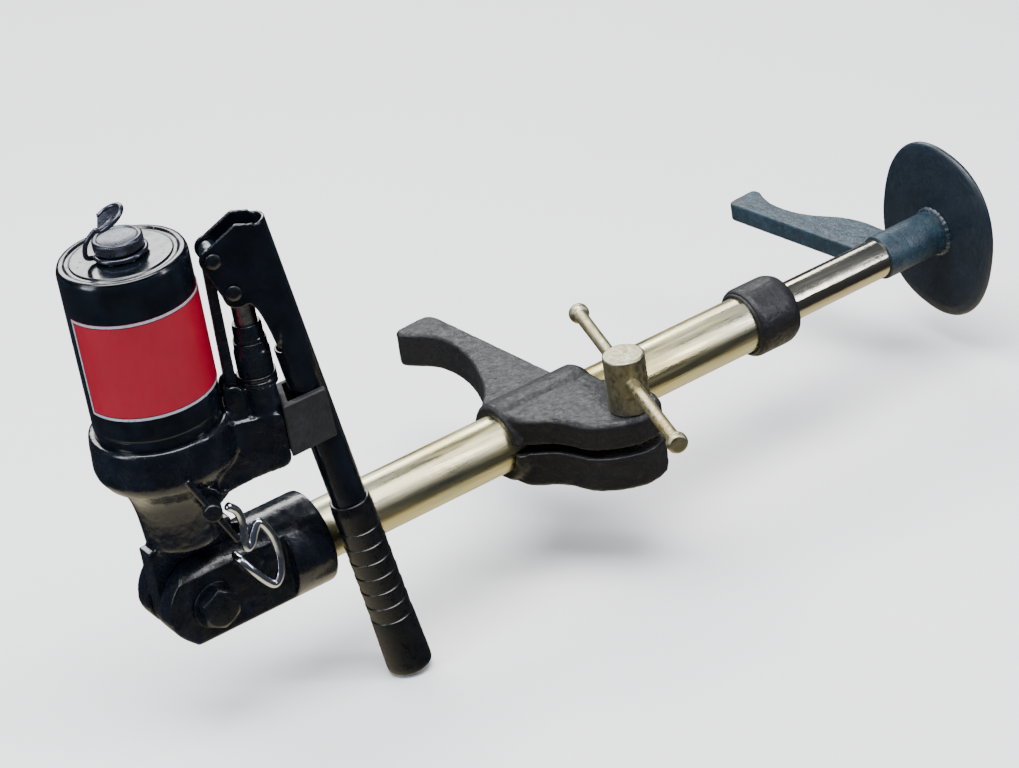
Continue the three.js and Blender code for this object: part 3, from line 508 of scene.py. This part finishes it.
def surroundings():
    """A dim cool room above and round the object, with a warm pale card far below it."""
    world = bpy.data.worlds.new("studio")
    world.use_nodes = True
    nodes, links = world.node_tree.nodes, world.node_tree.links
    place = nodes.new("ShaderNodeTexCoord")
    split = nodes.new("ShaderNodeSeparateXYZ")
    ramp = nodes.new("ShaderNodeValToRGB")
    height = nodes.new("ShaderNodeMapRange")
    height.inputs["From Min"].default_value = -1
    links.new(place.outputs["Generated"], split.inputs[0])
    links.new(split.outputs["Z"], height.inputs["Value"])
    links.new(height.outputs["Result"], ramp.inputs["Fac"])
    links.new(ramp.outputs["Color"], nodes["Background"].inputs["Color"])
    stops = ramp.color_ramp.elements
    stops[0].position, stops[0].color = 0.0, (0.95, 0.86, 0.62, 1)
    stops[1].position, stops[1].color = 1.0, (0.10, 0.12, 0.16, 1)
    for position, colour in ((0.13, (0.9, 0.8, 0.55, 1)), (0.21, (0.03, 0.033, 0.04, 1)),
                             (0.5, (0.045, 0.05, 0.065, 1))):
        stops.new(position).color = colour
    nodes["Background"].inputs["Strength"].default_value = 1.2
    bpy.context.scene.world = world


def studio():
    floor_z = cad_box[0][2] - 0.0005
    bpy.ops.mesh.primitive_plane_add(size=14, location=(-0.4, 0.6, floor_z))
    floor = bpy.context.object
    floor.name = "floor"
    pale = Finish("pale_floor", (0.9, 0.9, 0.9), 0.9, specular=0.1)
    pale.tint(pale.noise(3), (0.87, 0.87, 0.88))
    floor.data.materials.append(pale.material)
    floor.visible_glossy = False
    surroundings()
    middle = (-0.4, 0, 0.05)
    area_light("key", (-0.7, -0.2, 2.4), middle, (2.4, 1.4), 150)
    area_light("back", (0.3, 2.2, 1.7), middle, (2.6, 0.8), 75)
    area_light("strip", (0.75, -1.5, 1.3), middle, (0.3, 1.8), 30, (0.88, 0.88, 1.0))
    area_light("left", (-2.3, 0.1, 1.0), middle, (0.7, 1.4), 30, (0.85, 0.92, 1.0))


camera()
studio()


# ---- the ram -------------------------------------------------------------------------------
def ram_pieces():
    tube = turned("tube_shell", [
        (18, 60), (22.25, 60, 0.8), (22.25, 508, 0.8), (18, 508)], RAM @ ALONG_X, 160)
    show(tube, "ram_barrel", ZINC, "zinc", "ram_tube")
    nut = turned("nut_ring", [
        (22.4, 490), (24.6, 490, 0.8), (25.2, 491.6, 0.6), (26.6, 492, 1.2), (28, 495, 1.4), (28, 524, 3.2),
        (25, 530, 1.4), (19.05, 530, 0.6), (19.05, 525, 0.3), (15.83, 525), (15.83, 508.3), (22.4, 508.3)],
        RAM @ ALONG_X, 144)
    ripple(nut, 6, 0.25)
    show(nut, "ram_barrel", CAST, "cast", "gland_nut")
    wiper = turned("wiper_lip", [
        (15.83, 525.3), (18.75, 525.3, 0.3), (18.75, 529.6, 0.5), (17.2, 531, 0.5), (15.83, 530.2)],
        RAM @ ALONG_X)
    show(wiper, "ram_barrel", RUBBER, "seal", "rod_wiper")
    rod = turned("rod_shell", [
        (10, 241.3), (15.75, 241.3, 0.5), (15.75, 668, 0.5), (0, 668), (0, 656), (10, 656)],
        RAM @ ALONG_X, 144)
    show(rod, "ram", ROD, "chrome", "ram_rod")
    sleeve = turned("sleeve_shell", [
        (15.83, 631), (18, 631, 0.9), (18, 650, 0.3), (17.85, 651, 0.3), (18, 652, 0.3),
        (18, 689.7, 0.4), (0, 689.7), (0, 668.3), (15.83, 668.3)], RAM @ ALONG_X, 128)
    show(sleeve, "hook_head", TEAL, "teal_cast", "hook_sleeve")


def push_pad():
    """An oval plate with flat faces and a rounded edge, welded to the sleeve."""
    corners = 192
    outline = []
    for i in range(corners):
        a = 2 * math.pi * i / corners
        u = math.copysign(abs(math.cos(a)) ** (2 / 2.3), math.cos(a))
        v = math.copysign(abs(math.sin(a)) ** (2 / 2.3), math.sin(a))
        outline.append(Vector((75.5 * u, 62 * v)))
    near, far = 690.0, 697.0
    section = [(0.35, near), (0.7, near), (0.86, near), (0.9, 690.25), (0.925, 690.7),
               (0.95, 690.95), (0.975, 691.4), (0.99, 692.2), (0.998, 693.3), (1.0, 694.2),
               (0.997, 695.2), (0.988, 696.2), (0.972, 696.8), (0.955, far), (0.7, far), (0.3, far)]
    bm = bmesh.new()
    rings = []
    for share, x in section:
        rings.append([bm.verts.new((share * p.x, share * p.y, x)) for p in outline])
    for low, high in zip(rings, rings[1:]):
        for i in range(corners):
            k = (i + 1) % corners
            bm.faces.new([low[i], low[k], high[k], high[i]])
    for ring, x in ((rings[0], near), (rings[-1], far)):
        centre = bm.verts.new((0, 0, x))
        for i in range(corners):
            bm.faces.new([ring[i], ring[(i + 1) % corners], centre])
    lay = RAM @ Matrix.Rotation(math.radians(180), 4, "X") @ ALONG_X
    pad_turn = math.radians(14)
    pad = finished("pad_plate", bm, lay @ Matrix.Rotation(pad_turn, 4, "Z"), 50)
    show(pad, "hook_head", PAD, "pad_paint", "push_pad")
    bead = bmesh.new()
    sides, around = 10, 150
    rings = []
    for i in range(around):
        a = 2 * math.pi * i / around
        uneven = noise.noise(Vector((3 * math.cos(a), 3 * math.sin(a), 0)))
        swell = 1 + 0.12 * math.sin(25 * a) + 0.25 * uneven
        ring = []
        for k in range(sides + 1):
            b = math.radians(90 * k / sides)
            radius = 18.1 + 2.6 * swell * math.cos(b) ** 1.3
            x = 689.9 - 2.6 * swell * math.sin(b) ** 1.3
            ring.append(bead.verts.new((radius * math.cos(a), radius * math.sin(a), x)))
        rings.append(ring)
    for i in range(around):
        low, high = rings[i], rings[(i + 1) % around]
        for k in range(sides):
            bead.faces.new([low[k], low[k + 1], high[k + 1], high[k]])
        bead.faces.new([low[-1], low[0], high[0], high[-1]])
    weld = finished("pad_weld", bead, RAM @ ALONG_X, 80)
    show(weld, "hook_head", WELD, "teal_cast")


ram_pieces()
push_pad()


# ---- the fork ------------------------------------------------------------------------------
def fork():
    bar = moved(lathe(rounded([(0, -35), (35, -35), (35, 95, 1.6), (0, 95)]), 160), ALONG_X)
    piece = finished("fork_body", bar, RAM)
    side = arc(0, 0, 35, 90, 180, 32)
    for i in range(1, 41):
        a = math.radians(180 + 90 * i / 40)
        radius = 35 * (1 - 0.1 * math.sin(2 * a) ** 2)
        side.append((radius * math.cos(a), radius * math.sin(a)))
    side += [(99, -35), (99, 35)]
    keep = finished("keep", moved(prism(side, -40, 40), UPRIGHT), RAM)
    cut_to(piece, keep)
    flat = [(-40, -40), (58, -40), (62, -36, 4), (62, 36, 4), (58, 40), (-40, 40)]
    flat = round_corners(flat)
    cutters = [
        finished("flat", moved(prism(flat, 24, 44), UPRIGHT), RAM),
        finished("flat", moved(prism(flat, -44, -24), UPRIGHT), RAM),
        finished("slot", prism(arc(34, 0, 8, -90, 90, 24) + [(-40, 8), (-40, -8)], -40, 40), RAM),
    ]
    carve(piece, cutters)
    soften(piece, 0.85, 5)
    hole = moved(lathe([(0, -50), (8.08, -50), (8.08, 50), (0, 50)], 64), ALONG_Y)
    socket = moved(lathe([(0, 59.7), (22.4, 59.7), (22.4, 99), (0, 99)], 128), ALONG_X)
    pin = moved(lathe([(0, -40), (3.5, -40), (3.5, -16.5), (0, -16.5)], 32), ALONG_Y)
    pin = moved(pin, Matrix.Translation((24, 0, 26)))
    carve(piece, [finished("hole", hole, RAM), finished("socket", socket, RAM), finished("pin", pin, RAM)])
    shaded(piece, 50)
    show(piece, "ram_barrel", ENAMEL, "enamel", "clevis_fork")


def hexagon(radius, turn=30):
    return [(radius * math.cos(math.radians(60 * i + turn)), radius * math.sin(math.radians(60 * i + turn)))
            for i in range(6)]


def hex_head(name, matrix, low, high, radius, bore=0.0):
    """A forged hexagon whose outer corners are turned off."""
    piece = finished(name, prism(hexagon(radius), low, high), matrix)
    chamfer = lathe([(0, low - 1), (radius + 2, low - 1), (radius + 2, high - 2.4),
                     (radius * 0.8, high + 0.01), (0, high + 0.01)], 96)
    cut_to(piece, finished("keep", chamfer, matrix))
    if bore:
        through = lathe([(0, low - 5), (bore, low - 5), (bore, high + 5), (0, high + 5)], 48)
        carve(piece, [finished("bore", through, matrix)])
    bevelled(piece, 0.5, 25)
    return piece


def fork_fittings():
    front = RAM @ Matrix.Rotation(math.radians(90), 4, "X")  # local z is -Y
    back = RAM @ Matrix.Rotation(math.radians(-90), 4, "X")
    head = hex_head("bolt_hex", front, 26.2, 35.2, 15.6)
    show(head, "ram_barrel", BLACK_STEEL, "black_steel", "pivot_bolt")
    shank = turned("bolt_shank", [(0, -40.2), (8, -40.2, 1), (8, 26.1), (0, 26.1)], front, 64)
    show(shank, "ram_barrel", BLACK_STEEL, "black_steel")
    nut = hex_head("bolt_nut", back, 26.2, 35.2, 15.6, 8.08)
    show(nut, "ram_barrel", BLACK_STEEL, "black_steel", "pivot_nut")
    for name, side in (("front", front), ("back", back)):
        washer = turned(f"washer_{name}", [
            (8.08, 24.3), (17.5, 24.3, 0.4), (17.5, 25.9, 0.4), (8.08, 25.9)], side, 96)
        show(washer, "ram_barrel", BLACK_STEEL, "black_steel", f"pivot_washer_{name}")
    route = [(24, -17.5, 26), (24, -21, 26), (24, -25, 26), (24.8, -29.4, 24.8), (28.4, -33, 18.6),
             (35.6, -34.4, 7.4), (42.5, -34.6, 0.4), (48, -34.6, 5), (50.5, -34.6, 16), (50, -34.6, 28),
             (46.6, -34.8, 42), (40.4, -35, 52.6), (35.6, -35.2, 48.2), (31.6, -35.4, 40),
             (27.4, -35.6, 38.2), (26.4, -35.8, 45), (27.6, -36, 58), (25.6, -36, 69), (19.4, -35.6, 76)]
    wire = finished("lock_wire_bent", tube_along(route, 3.1, 24, 8), RAM, 80)
    show(wire, "lock_clip", CHROME, "chrome", "lock_wire")


fork()
fork_fittings()


# ---- the jaws ------------------------------------------------------------------------------
def jaws():
    jaw = copied("jaw_cast", "slide_jaw")
    soften(jaw, 1.0, 6)
    ripple(jaw, 9, 0.5)
    show(jaw, "jaw", CAST, "cast", "slide_jaw")
    hook = copied("hook_forged", "end_hook")
    soften(hook, 0.8, 3)
    ripple(hook, 7, 0.25)
    show(hook, "hook_head", TEAL, "teal_cast", "end_hook")
    at_screw = RAM @ Matrix.Translation((330, -74, 0))
    screw = turned("screw_head", [
        (0, -24), (6.8, -24), (8, -22.8, 0.6), (8, 29.3), (15.5, 29.3, 0.9), (15.5, 73.3, 2.2), (0, 73.3)],
        at_screw, 128)
    bar_turn = Matrix.Rotation(math.radians(72), 4, "Z")
    bar_frame = at_screw @ Matrix.Translation((0, 0, 55.3)) @ bar_turn @ ALONG_X
    eye = lathe(rounded([(0, -30), (5.15, -30), (5.15, 30), (0, 30)]), 48)
    carve(screw, [finished("eye", eye, bar_frame)])
    screw.data.set_sharp_from_angle(angle=math.radians(40))
    show(screw, "clamp", DULL_ZINC, "zinc", "clamp_screw")
    bar = turned("tommy_rod", [
        (0, -111), (6.4, -111, 1.2), (7.8, -108.5, 1.2), (7.8, -104.5, 1.2), (5, -101.5, 1), (4.85, -60, 1),
        (5, 0, 1), (4.85, 60, 1), (5, 101.5, 1), (7.8, 104.5, 1.2), (7.8, 108.5, 1.2), (6.4, 111, 1.2),
        (0, 111)], bar_frame, 64)
    show(bar, "tommy", DULL_ZINC, "zinc", "tommy_bar")


jaws()


# ---- the pump head -------------------------------------------------------------------------
AT_BARREL = Matrix.Translation((71, 0, 0))
AT_VALVE = Matrix.Translation((20, 0, 92))


def stadium(a, b, radius, steps=20):
    along = math.degrees(math.atan2(b[1] - a[1], b[0] - a[0]))
    return arc(*b, radius, along - 90, along + 90, steps) + arc(*a, radius, along + 90, along + 270, steps)


def casting():
    cup = lathe(rounded([
        (0, 47), (25.5, 47, 1), (27.6, 50, 2), (28, 59, 4), (29.4, 75, 6), (32.4, 89, 5), (38, 98, 5),
        (46.5, 105, 3), (50.5, 112, 3), (49.9, 129, 6), (48.9, 138, 1), (47.7, 140, 0.8), (0, 140)]), 160)
    spin = Matrix.Rotation(math.radians(ARM_YAW), 4, "Z")
    beam_side = round_corners([
        (0, 92), (14, 79, 10), (30, 78, 10), (50, 85, 12), (82, 90, 7), (82, 131, 5), (0, 131)])
    beam = moved(prism(beam_side, -16, 16), spin @ UPRIGHT)
    web_side = round_corners([(10, 70), (26, 66, 6), (44, 84, 14), (44, 110), (10, 110)])
    web = moved(prism(web_side, -9, 9), spin @ UPRIGHT)
    boss = moved(lathe(rounded([
        (0, 96), (13.7, 96), (13.7, 127, 1), (14.6, 131, 1.5), (14.6, 135, 1.5), (13.7, 138, 1),
        (13.7, 152, 0.8), (0, 152)]), 96), spin @ AT_BARREL)
    lugs = [moved(prism(stadium((52, 119), (52, 150), 7.2), side - 2.3, side + 2.3), spin @ UPRIGHT)
            for side in (-10.6, 10.6)]
    tongue_side = arc(0, 0, 33, 180, 360, 64) + [(33, 49), (-33, 49)]
    tongue = moved(prism(tongue_side, -7.7, 7.7), UPRIGHT)
    valve = moved(lathe(rounded([(0, -40), (9, -40, 1), (9, -8), (0, -8)]), 64),
                  spin @ AT_VALVE @ ALONG_Y)
    piece = finished("head_casting", joined([cup, beam, web, boss, *lugs, tongue, valve]), RAM)
    soften(piece, 1.05, 7)
    ripple(piece, 14, 0.35)
    link_slot = prism([(46.2, 127), (57.3, 127), (57.3, 200), (46.2, 200)], -8.3, 8.3)
    cutters = [
        finished("seat", lathe([(39.8, 128), (44.6, 128), (44.6, 149), (39.8, 149)], 128), RAM),
        finished("well", lathe([(0, 134), (40.8, 134), (40.8, 149), (0, 149)], 96), RAM),
        finished("slot", moved(link_slot, UPRIGHT), ARM),
        finished("pin", moved(lathe([(0, -30), (3.28, -30), (3.28, 30), (0, 30)], 32),
                              Matrix.Translation((52, 0, 150)) @ ALONG_Y), ARM),
        finished("bore", moved(lathe([(0, 107), (10.8, 107), (10.8, 158), (0, 158)], 64),
                               AT_BARREL), ARM),
        finished("valve", moved(lathe([(0, -44), (4.2, -44), (4.2, -14), (0, -14)], 40),
                                AT_VALVE @ ALONG_Y), ARM),
        finished("pivot", moved(lathe([(0, -30), (8.08, -30), (8.08, 30), (0, 30)], 64), ALONG_Y), RAM),
        finished("end", prism([(82, -40), (90, -40), (90, 40), (82, 40)], 60, 150), ARM),
    ]
    for s in (58.5, 73):
        cutters.append(finished("pocket", lathe([(0, 70), (5, 70), (5, 102), (0, 102)], 32),
                                ARM @ Matrix.Translation((s, 0, 0))))
    carve(piece, cutters)
    shaded(piece, 50)
    show(piece, "pump_head", ENAMEL, "enamel", "base_casting")


def can():
    shell = turned("can_shell", [
        (42.8, 128.3), (44.0, 128.3, 0.5), (44.3, 146.5, 0.3), (43.9, 147.6, 0.4), (44.3, 148.7, 0.3),
        (44.3, 256, 0.6), (44.3, 262.6, 2.6), (42.4, 266.2, 1.4), (39.4, 266.4, 0.6), (37.2, 265.1, 0.5),
        (35.2, 265.2, 0.5), (34.2, 266.2, 0.5), (18, 266.4, 1), (15, 267, 0.5), (15, 271.4, 0.4),
        (9.2, 271.4, 0.3), (9.2, 263), (40.8, 263), (42.8, 261)], RAM, 176)
    show(shell, "pump_head", CAN_BLACK, "can_black", "reservoir_can")


def label():
    """A plain crimson band with a silver frame and a thin black line, part of the way round the can."""
    low, high = 165.0, 237.0
    start, end = math.radians(-179), math.radians(43)
    columns, inner, outer = 120, 44.6, 44.95
    frame_w, line_w = 1.9, 0.55
    edge, line = frame_w / inner, line_w / inner
    clear = 0.06
    even = [start + (end - start) * i / columns for i in range(1, columns)]
    turns = [start, start + edge, start + edge + line,
             *(a for a in even if start + clear < a < end - clear),
             end - edge - line, end - edge, end]
    rows = [low, low + frame_w, low + frame_w + line_w, high - frame_w - line_w, high - frame_w, high]
    bm = bmesh.new()
    spot = {}
    for layer, radius in enumerate((inner, outer)):
        for i, a in enumerate(turns):
            for k, z in enumerate(rows):
                spot[layer, i, k] = bm.verts.new((radius * math.cos(a), radius * math.sin(a), z))
    last, top = len(turns) - 1, len(rows) - 1
    for i in range(last):
        for k in range(top):
            corners = (i, k), (i + 1, k), (i + 1, k + 1), (i, k + 1)
            face = bm.faces.new([spot[1, a, b] for a, b in corners])
            on_frame = i in (0, last - 1) or k in (0, top - 1)
            on_line = not on_frame and (i in (1, last - 2) or k in (1, top - 2))
            face.material_index = 1 if on_frame else (2 if on_line else 0)
            bm.faces.new([spot[0, i, k], spot[0, i, k + 1], spot[0, i + 1, k + 1], spot[0, i + 1, k]])
        for k, flip in ((0, False), (top, True)):
            quad = [spot[0, i, k], spot[0, i + 1, k], spot[1, i + 1, k], spot[1, i, k]]
            bm.faces.new(quad[::-1] if flip else quad)
    for k in range(top):
        for i, flip in ((0, True), (last, False)):
            quad = [spot[0, i, k], spot[0, i, k + 1], spot[1, i, k + 1], spot[1, i, k]]
            bm.faces.new(quad[::-1] if flip else quad)
    piece = finished("label_band", bm, RAM)
    show(piece, "pump_head", [CRIMSON, SILVER, CAN_BLACK], "label", "can_label")


def cap():
    """The filler cap: a diamond-knurled rim, turned faces and a shallow dish on top."""
    bm = bmesh.new()
    count, rows = 288, 25
    stem_foot, knurl_foot, knurl_height, dish = 256, 272.6, 6.2, 279.05
    diamonds, diamond_height, knurl_root, knurl_depth = 72, 1.5, 16.55, 0.7
    rings = []
    for radius, z in ((8.6, stem_foot), (8.8, 257), (8.8, 271.7), (15.6, 271.7), (16.3, 271.9),
                      (16.6, 272.3)):
        rings.append([(radius, z)] * count)
    for row in range(rows):
        z = knurl_foot + knurl_height * row / (rows - 1)
        fade = 0.3 if row in (0, rows - 1) else 1
        ring = []
        for i in range(count):
            along = i / count * diamonds
            across = (z - knurl_foot) / diamond_height
            one = abs((along + across) % 1 - 0.5)
            two = abs((along - across) % 1 - 0.5)
            ring.append((knurl_root + knurl_depth * min(one, two) * 2 * fade, z))
        rings.append(ring)
    for radius, z in ((16.6, 279.1), (16.2, 279.6), (15.6, 279.95), (14.9, 280), (13.9, 279.8), (13.4, 279.3),
                      (12.6, 279.1), (5, dish)):
        rings.append([(radius, z)] * count)
    turns = [2 * math.pi * i / count for i in range(count)]
    loops = []
    for ring in rings:
        loops.append([bm.verts.new((r * math.cos(a), r * math.sin(a), z)) for a, (r, z) in zip(turns, ring)])
    for low, high in zip(loops, loops[1:]):
        for i in range(count):
            k = (i + 1) % count
            bm.faces.new([low[i], low[k], high[k], high[i]])
    for loop, z in ((loops[0], stem_foot), (loops[-1], dish)):
        centre = bm.verts.new((0, 0, z))
        for i in range(count):
            bm.faces.new([loop[i], loop[(i + 1) % count], centre])
    piece = finished("cap_knurled", bm, RAM, 35)
    show(piece, "cap", KNURL, "knurl", "filler_cap")


def cap_wire():
    neck_radius, neck_z = 17.5, 269.2
    neck_turns = [math.radians(500 - 29 * i) for i in range(12)]
    neck = [(neck_radius * math.cos(a), neck_radius * math.sin(a), neck_z) for a in neck_turns]
    tail = [(-22.6, -1.2, 271.5), (-23, -3, 278), (-20.4, -5, 285), (-14.5, -6, 290.5)]
    eye = []
    for i in range(10):
        a = math.radians(184 + 33 * i)
        eye.append((9.4 * math.cos(a) - 3.6, 8.5 * math.sin(a) - 6 + 0.22 * i,
                    295 + 4.7 * math.cos(a) + 0.33 * i))
    turn = RAM @ Matrix.Rotation(math.radians(-12), 4, "Z")
    wire = finished("cap_wire_bent", tube_along([*neck, *tail, *eye], 1.75, 18, 6), turn, 80)
    show(wire, "cap_clip", WIRE_BLACK, "black_steel", "cap_wire")
    bm = bmesh.new()
    around = [Vector(p) for p in smooth_route(eye + eye[:1], 6)]
    middle = sum(around, Vector()) / len(around)
    normal = (around[0] - middle).cross(around[len(around) // 4] - middle).normalized()
    sheets = []
    for side in (-0.5, 0.5):
        rim = [bm.verts.new(middle + (p - middle) * 0.97 + normal * side) for p in around[:-1]]
        inner = [bm.verts.new(middle + (p - middle) * 0.5 + normal * (side - 1.1)) for p in around[:-1]]
        sheets.append((rim, inner, bm.verts.new(middle + normal * (side - 1.6))))
    for rim, inner, centre in sheets:
        for i in range(len(rim)):
            k = (i + 1) % len(rim)
            bm.faces.new([rim[i], rim[k], inner[k], inner[i]])
            bm.faces.new([inner[i], inner[k], centre])
    under, over = sheets[0][0], sheets[1][0]
    for i in range(len(under)):
        k = (i + 1) % len(under)
        bm.faces.new([under[i], under[k], over[k], over[i]])
    tab = finished("cap_thumb_tab", bm, turn, 60)
    show(tab, "cap_clip", WIRE_BLACK, "black_steel")


def pump_cylinder():
    at_barrel = ARM @ AT_BARREL
    barrel = turned("barrel_shell", [
        (8.08, 108), (10.5, 108), (10.5, 159.3), (12.5, 159.3, 0.5), (12.5, 176, 0.5), (11.6, 178, 0.6),
        (11.6, 184, 0.5), (8.08, 184)], at_barrel, 96)
    show(barrel, "pump_head", ENAMEL, "enamel", "pump_barrel")
    ring = turned("lock_ring_shell", [
        (10.8, 152.3), (13.7, 152.3, 0.6), (13.7, 154.5, 0.4), (12.9, 155.2, 0.4), (12.9, 156.4, 0.4),
        (13.7, 157, 0.4), (13.7, 159, 0.6), (10.8, 159)], at_barrel, 96)
    show(ring, "pump_head", ENAMEL, "enamel", "barrel_lock_ring")
    gland = turned("gland_shell", [
        (8.08, 184.3), (10.9, 184.3, 0.3), (10.9, 186, 0.4), (10.3, 187, 0.4), (10.3, 194, 0.8),
        (9.6, 197, 0.5), (8.08, 197)], at_barrel, 80)
    show(gland, "pump_head", ENAMEL, "enamel", "plunger_gland")


def valve():
    place = ARM @ AT_VALVE
    turn = Matrix.Rotation(math.radians(65), 4, "Y")
    spindle = turned("valve_spindle", [
        (0, -59), (6.0, -59, 0.7), (6.7, -57.6, 0.6), (6.7, -47.5, 0.8), (4, -45, 0.8), (4, -20), (0, -15)],
        place @ ALONG_Y, 64)
    cross = place @ Matrix.Translation((0, -54, 0)) @ turn @ ALONG_X
    carve(spindle, [finished("eye", lathe([(0, -20), (2.5, -20), (2.5, 20), (0, 20)], 32), cross)])
    show(spindle, "valve", BLACK_STEEL, "black_steel", "release_valve")
    bar = turned("valve_handle", [(0, -30), (2.4, -30, 0.8), (2.4, 30, 0.8), (0, 30)], cross, 40)
    show(bar, "valve", BLACK_STEEL, "black_steel", "valve_bar")


casting()
can()
label()
cap()
cap_wire()
pump_cylinder()
valve()


# ---- the linkage and the lever -------------------------------------------------------------
LEVER_TOP = (84.5, 270.0)
LEVER_FOOT = (136.0, -100.0)
LEVER_LEAN = math.atan2(LEVER_FOOT[0] - LEVER_TOP[0], LEVER_TOP[1] - LEVER_FOOT[1])
LEVER_LENGTH = math.hypot(LEVER_FOOT[0] - LEVER_TOP[0], LEVER_TOP[1] - LEVER_FOOT[1])
LEVER = ARM @ Matrix.Translation((LEVER_TOP[0], 0, LEVER_TOP[1])) @ Matrix.Rotation(-LEVER_LEAN, 4, "Y")


def lever():
    piece = copied("lever_body", "pump_lever")
    soften(piece, 0.85, 4)
    show(piece, "lever", LEVER_BLACK, "enamel", "pump_lever")
    end = -LEVER_LENGTH
    steps = [(12.85, end - 2.9), (14.4, end - 2.9, 0.8), (16.6, end - 1.6, 1), (16.8, end + 2, 1.5),
             (16.1, end + 36, 2)]
    for i in range(7):
        base = end + 44 + 13 * i
        radius = 15.9 - 0.09 * i
        steps += [(radius, base, 0.25), (radius - 0.75, base + 0.5, 0.2), (radius - 0.55, base + 1.1, 0.3)]
    steps += [(15.2, end + 139, 1.5), (14.3, end + 145.5, 0.8), (12.85, end + 145.5)]
    grip = turned("grip_sleeve", steps, LEVER, 112)
    show(grip, "lever", VINYL, "vinyl", "lever_grip")
    for name, (s, z) in (("fulcrum_pin", (57, 252)), ("plunger_pin", (66, 226))):
        place = ARM @ Matrix.Translation((s, 0, z)) @ ALONG_Y
        pin = turned(f"{name}_head", [
            (0, -15.5), (3.2, -15.5, 0.9), (5.6, -14.3, 0.6), (5.6, -12.8, 0.3), (4, -12.75),
            (4, 14.3, 0.8), (0, 14.3)], place, 48)
        show(pin, "lever", BLACK_STEEL, "black_steel", name)


def link_piece():
    link = copied("link_bar", "fulcrum_link")
    soften(link, 0.7, 3)
    show(link, "link", ENAMEL, "enamel", "fulcrum_link")


def clip():
    piece = copied("clip_block", "handle_clip")
    bevelled(piece, 1.1, 30)
    show(piece, "pump_head", CLIP, "matte_black", "handle_clip")


lever()
link_piece()
clip()


# ---- carried-over CAD nodes ------------------------------------------------------------------
CARRIED = {
    "gland_bush": BRONZE, "spring_anchor_base": STEEL, "return_spring": STEEL, "piston": STEEL,
    "piston_seal": RUBBER, "spring_anchor_rod": STEEL, "can_seal": RUBBER, "link_pin": BLACK_STEEL,
    "suction_ball": STEEL, "suction_plug": BLACK_STEEL, "delivery_ball": STEEL,
    "delivery_plug": BLACK_STEEL, "clip_screw_1": BLACK_STEEL, "clip_screw_2": BLACK_STEEL,
    "plunger": STEEL,
}
for node, material in CARRIED.items():
    NODES[node].data.materials.clear()
    NODES[node].data.materials.append(material)
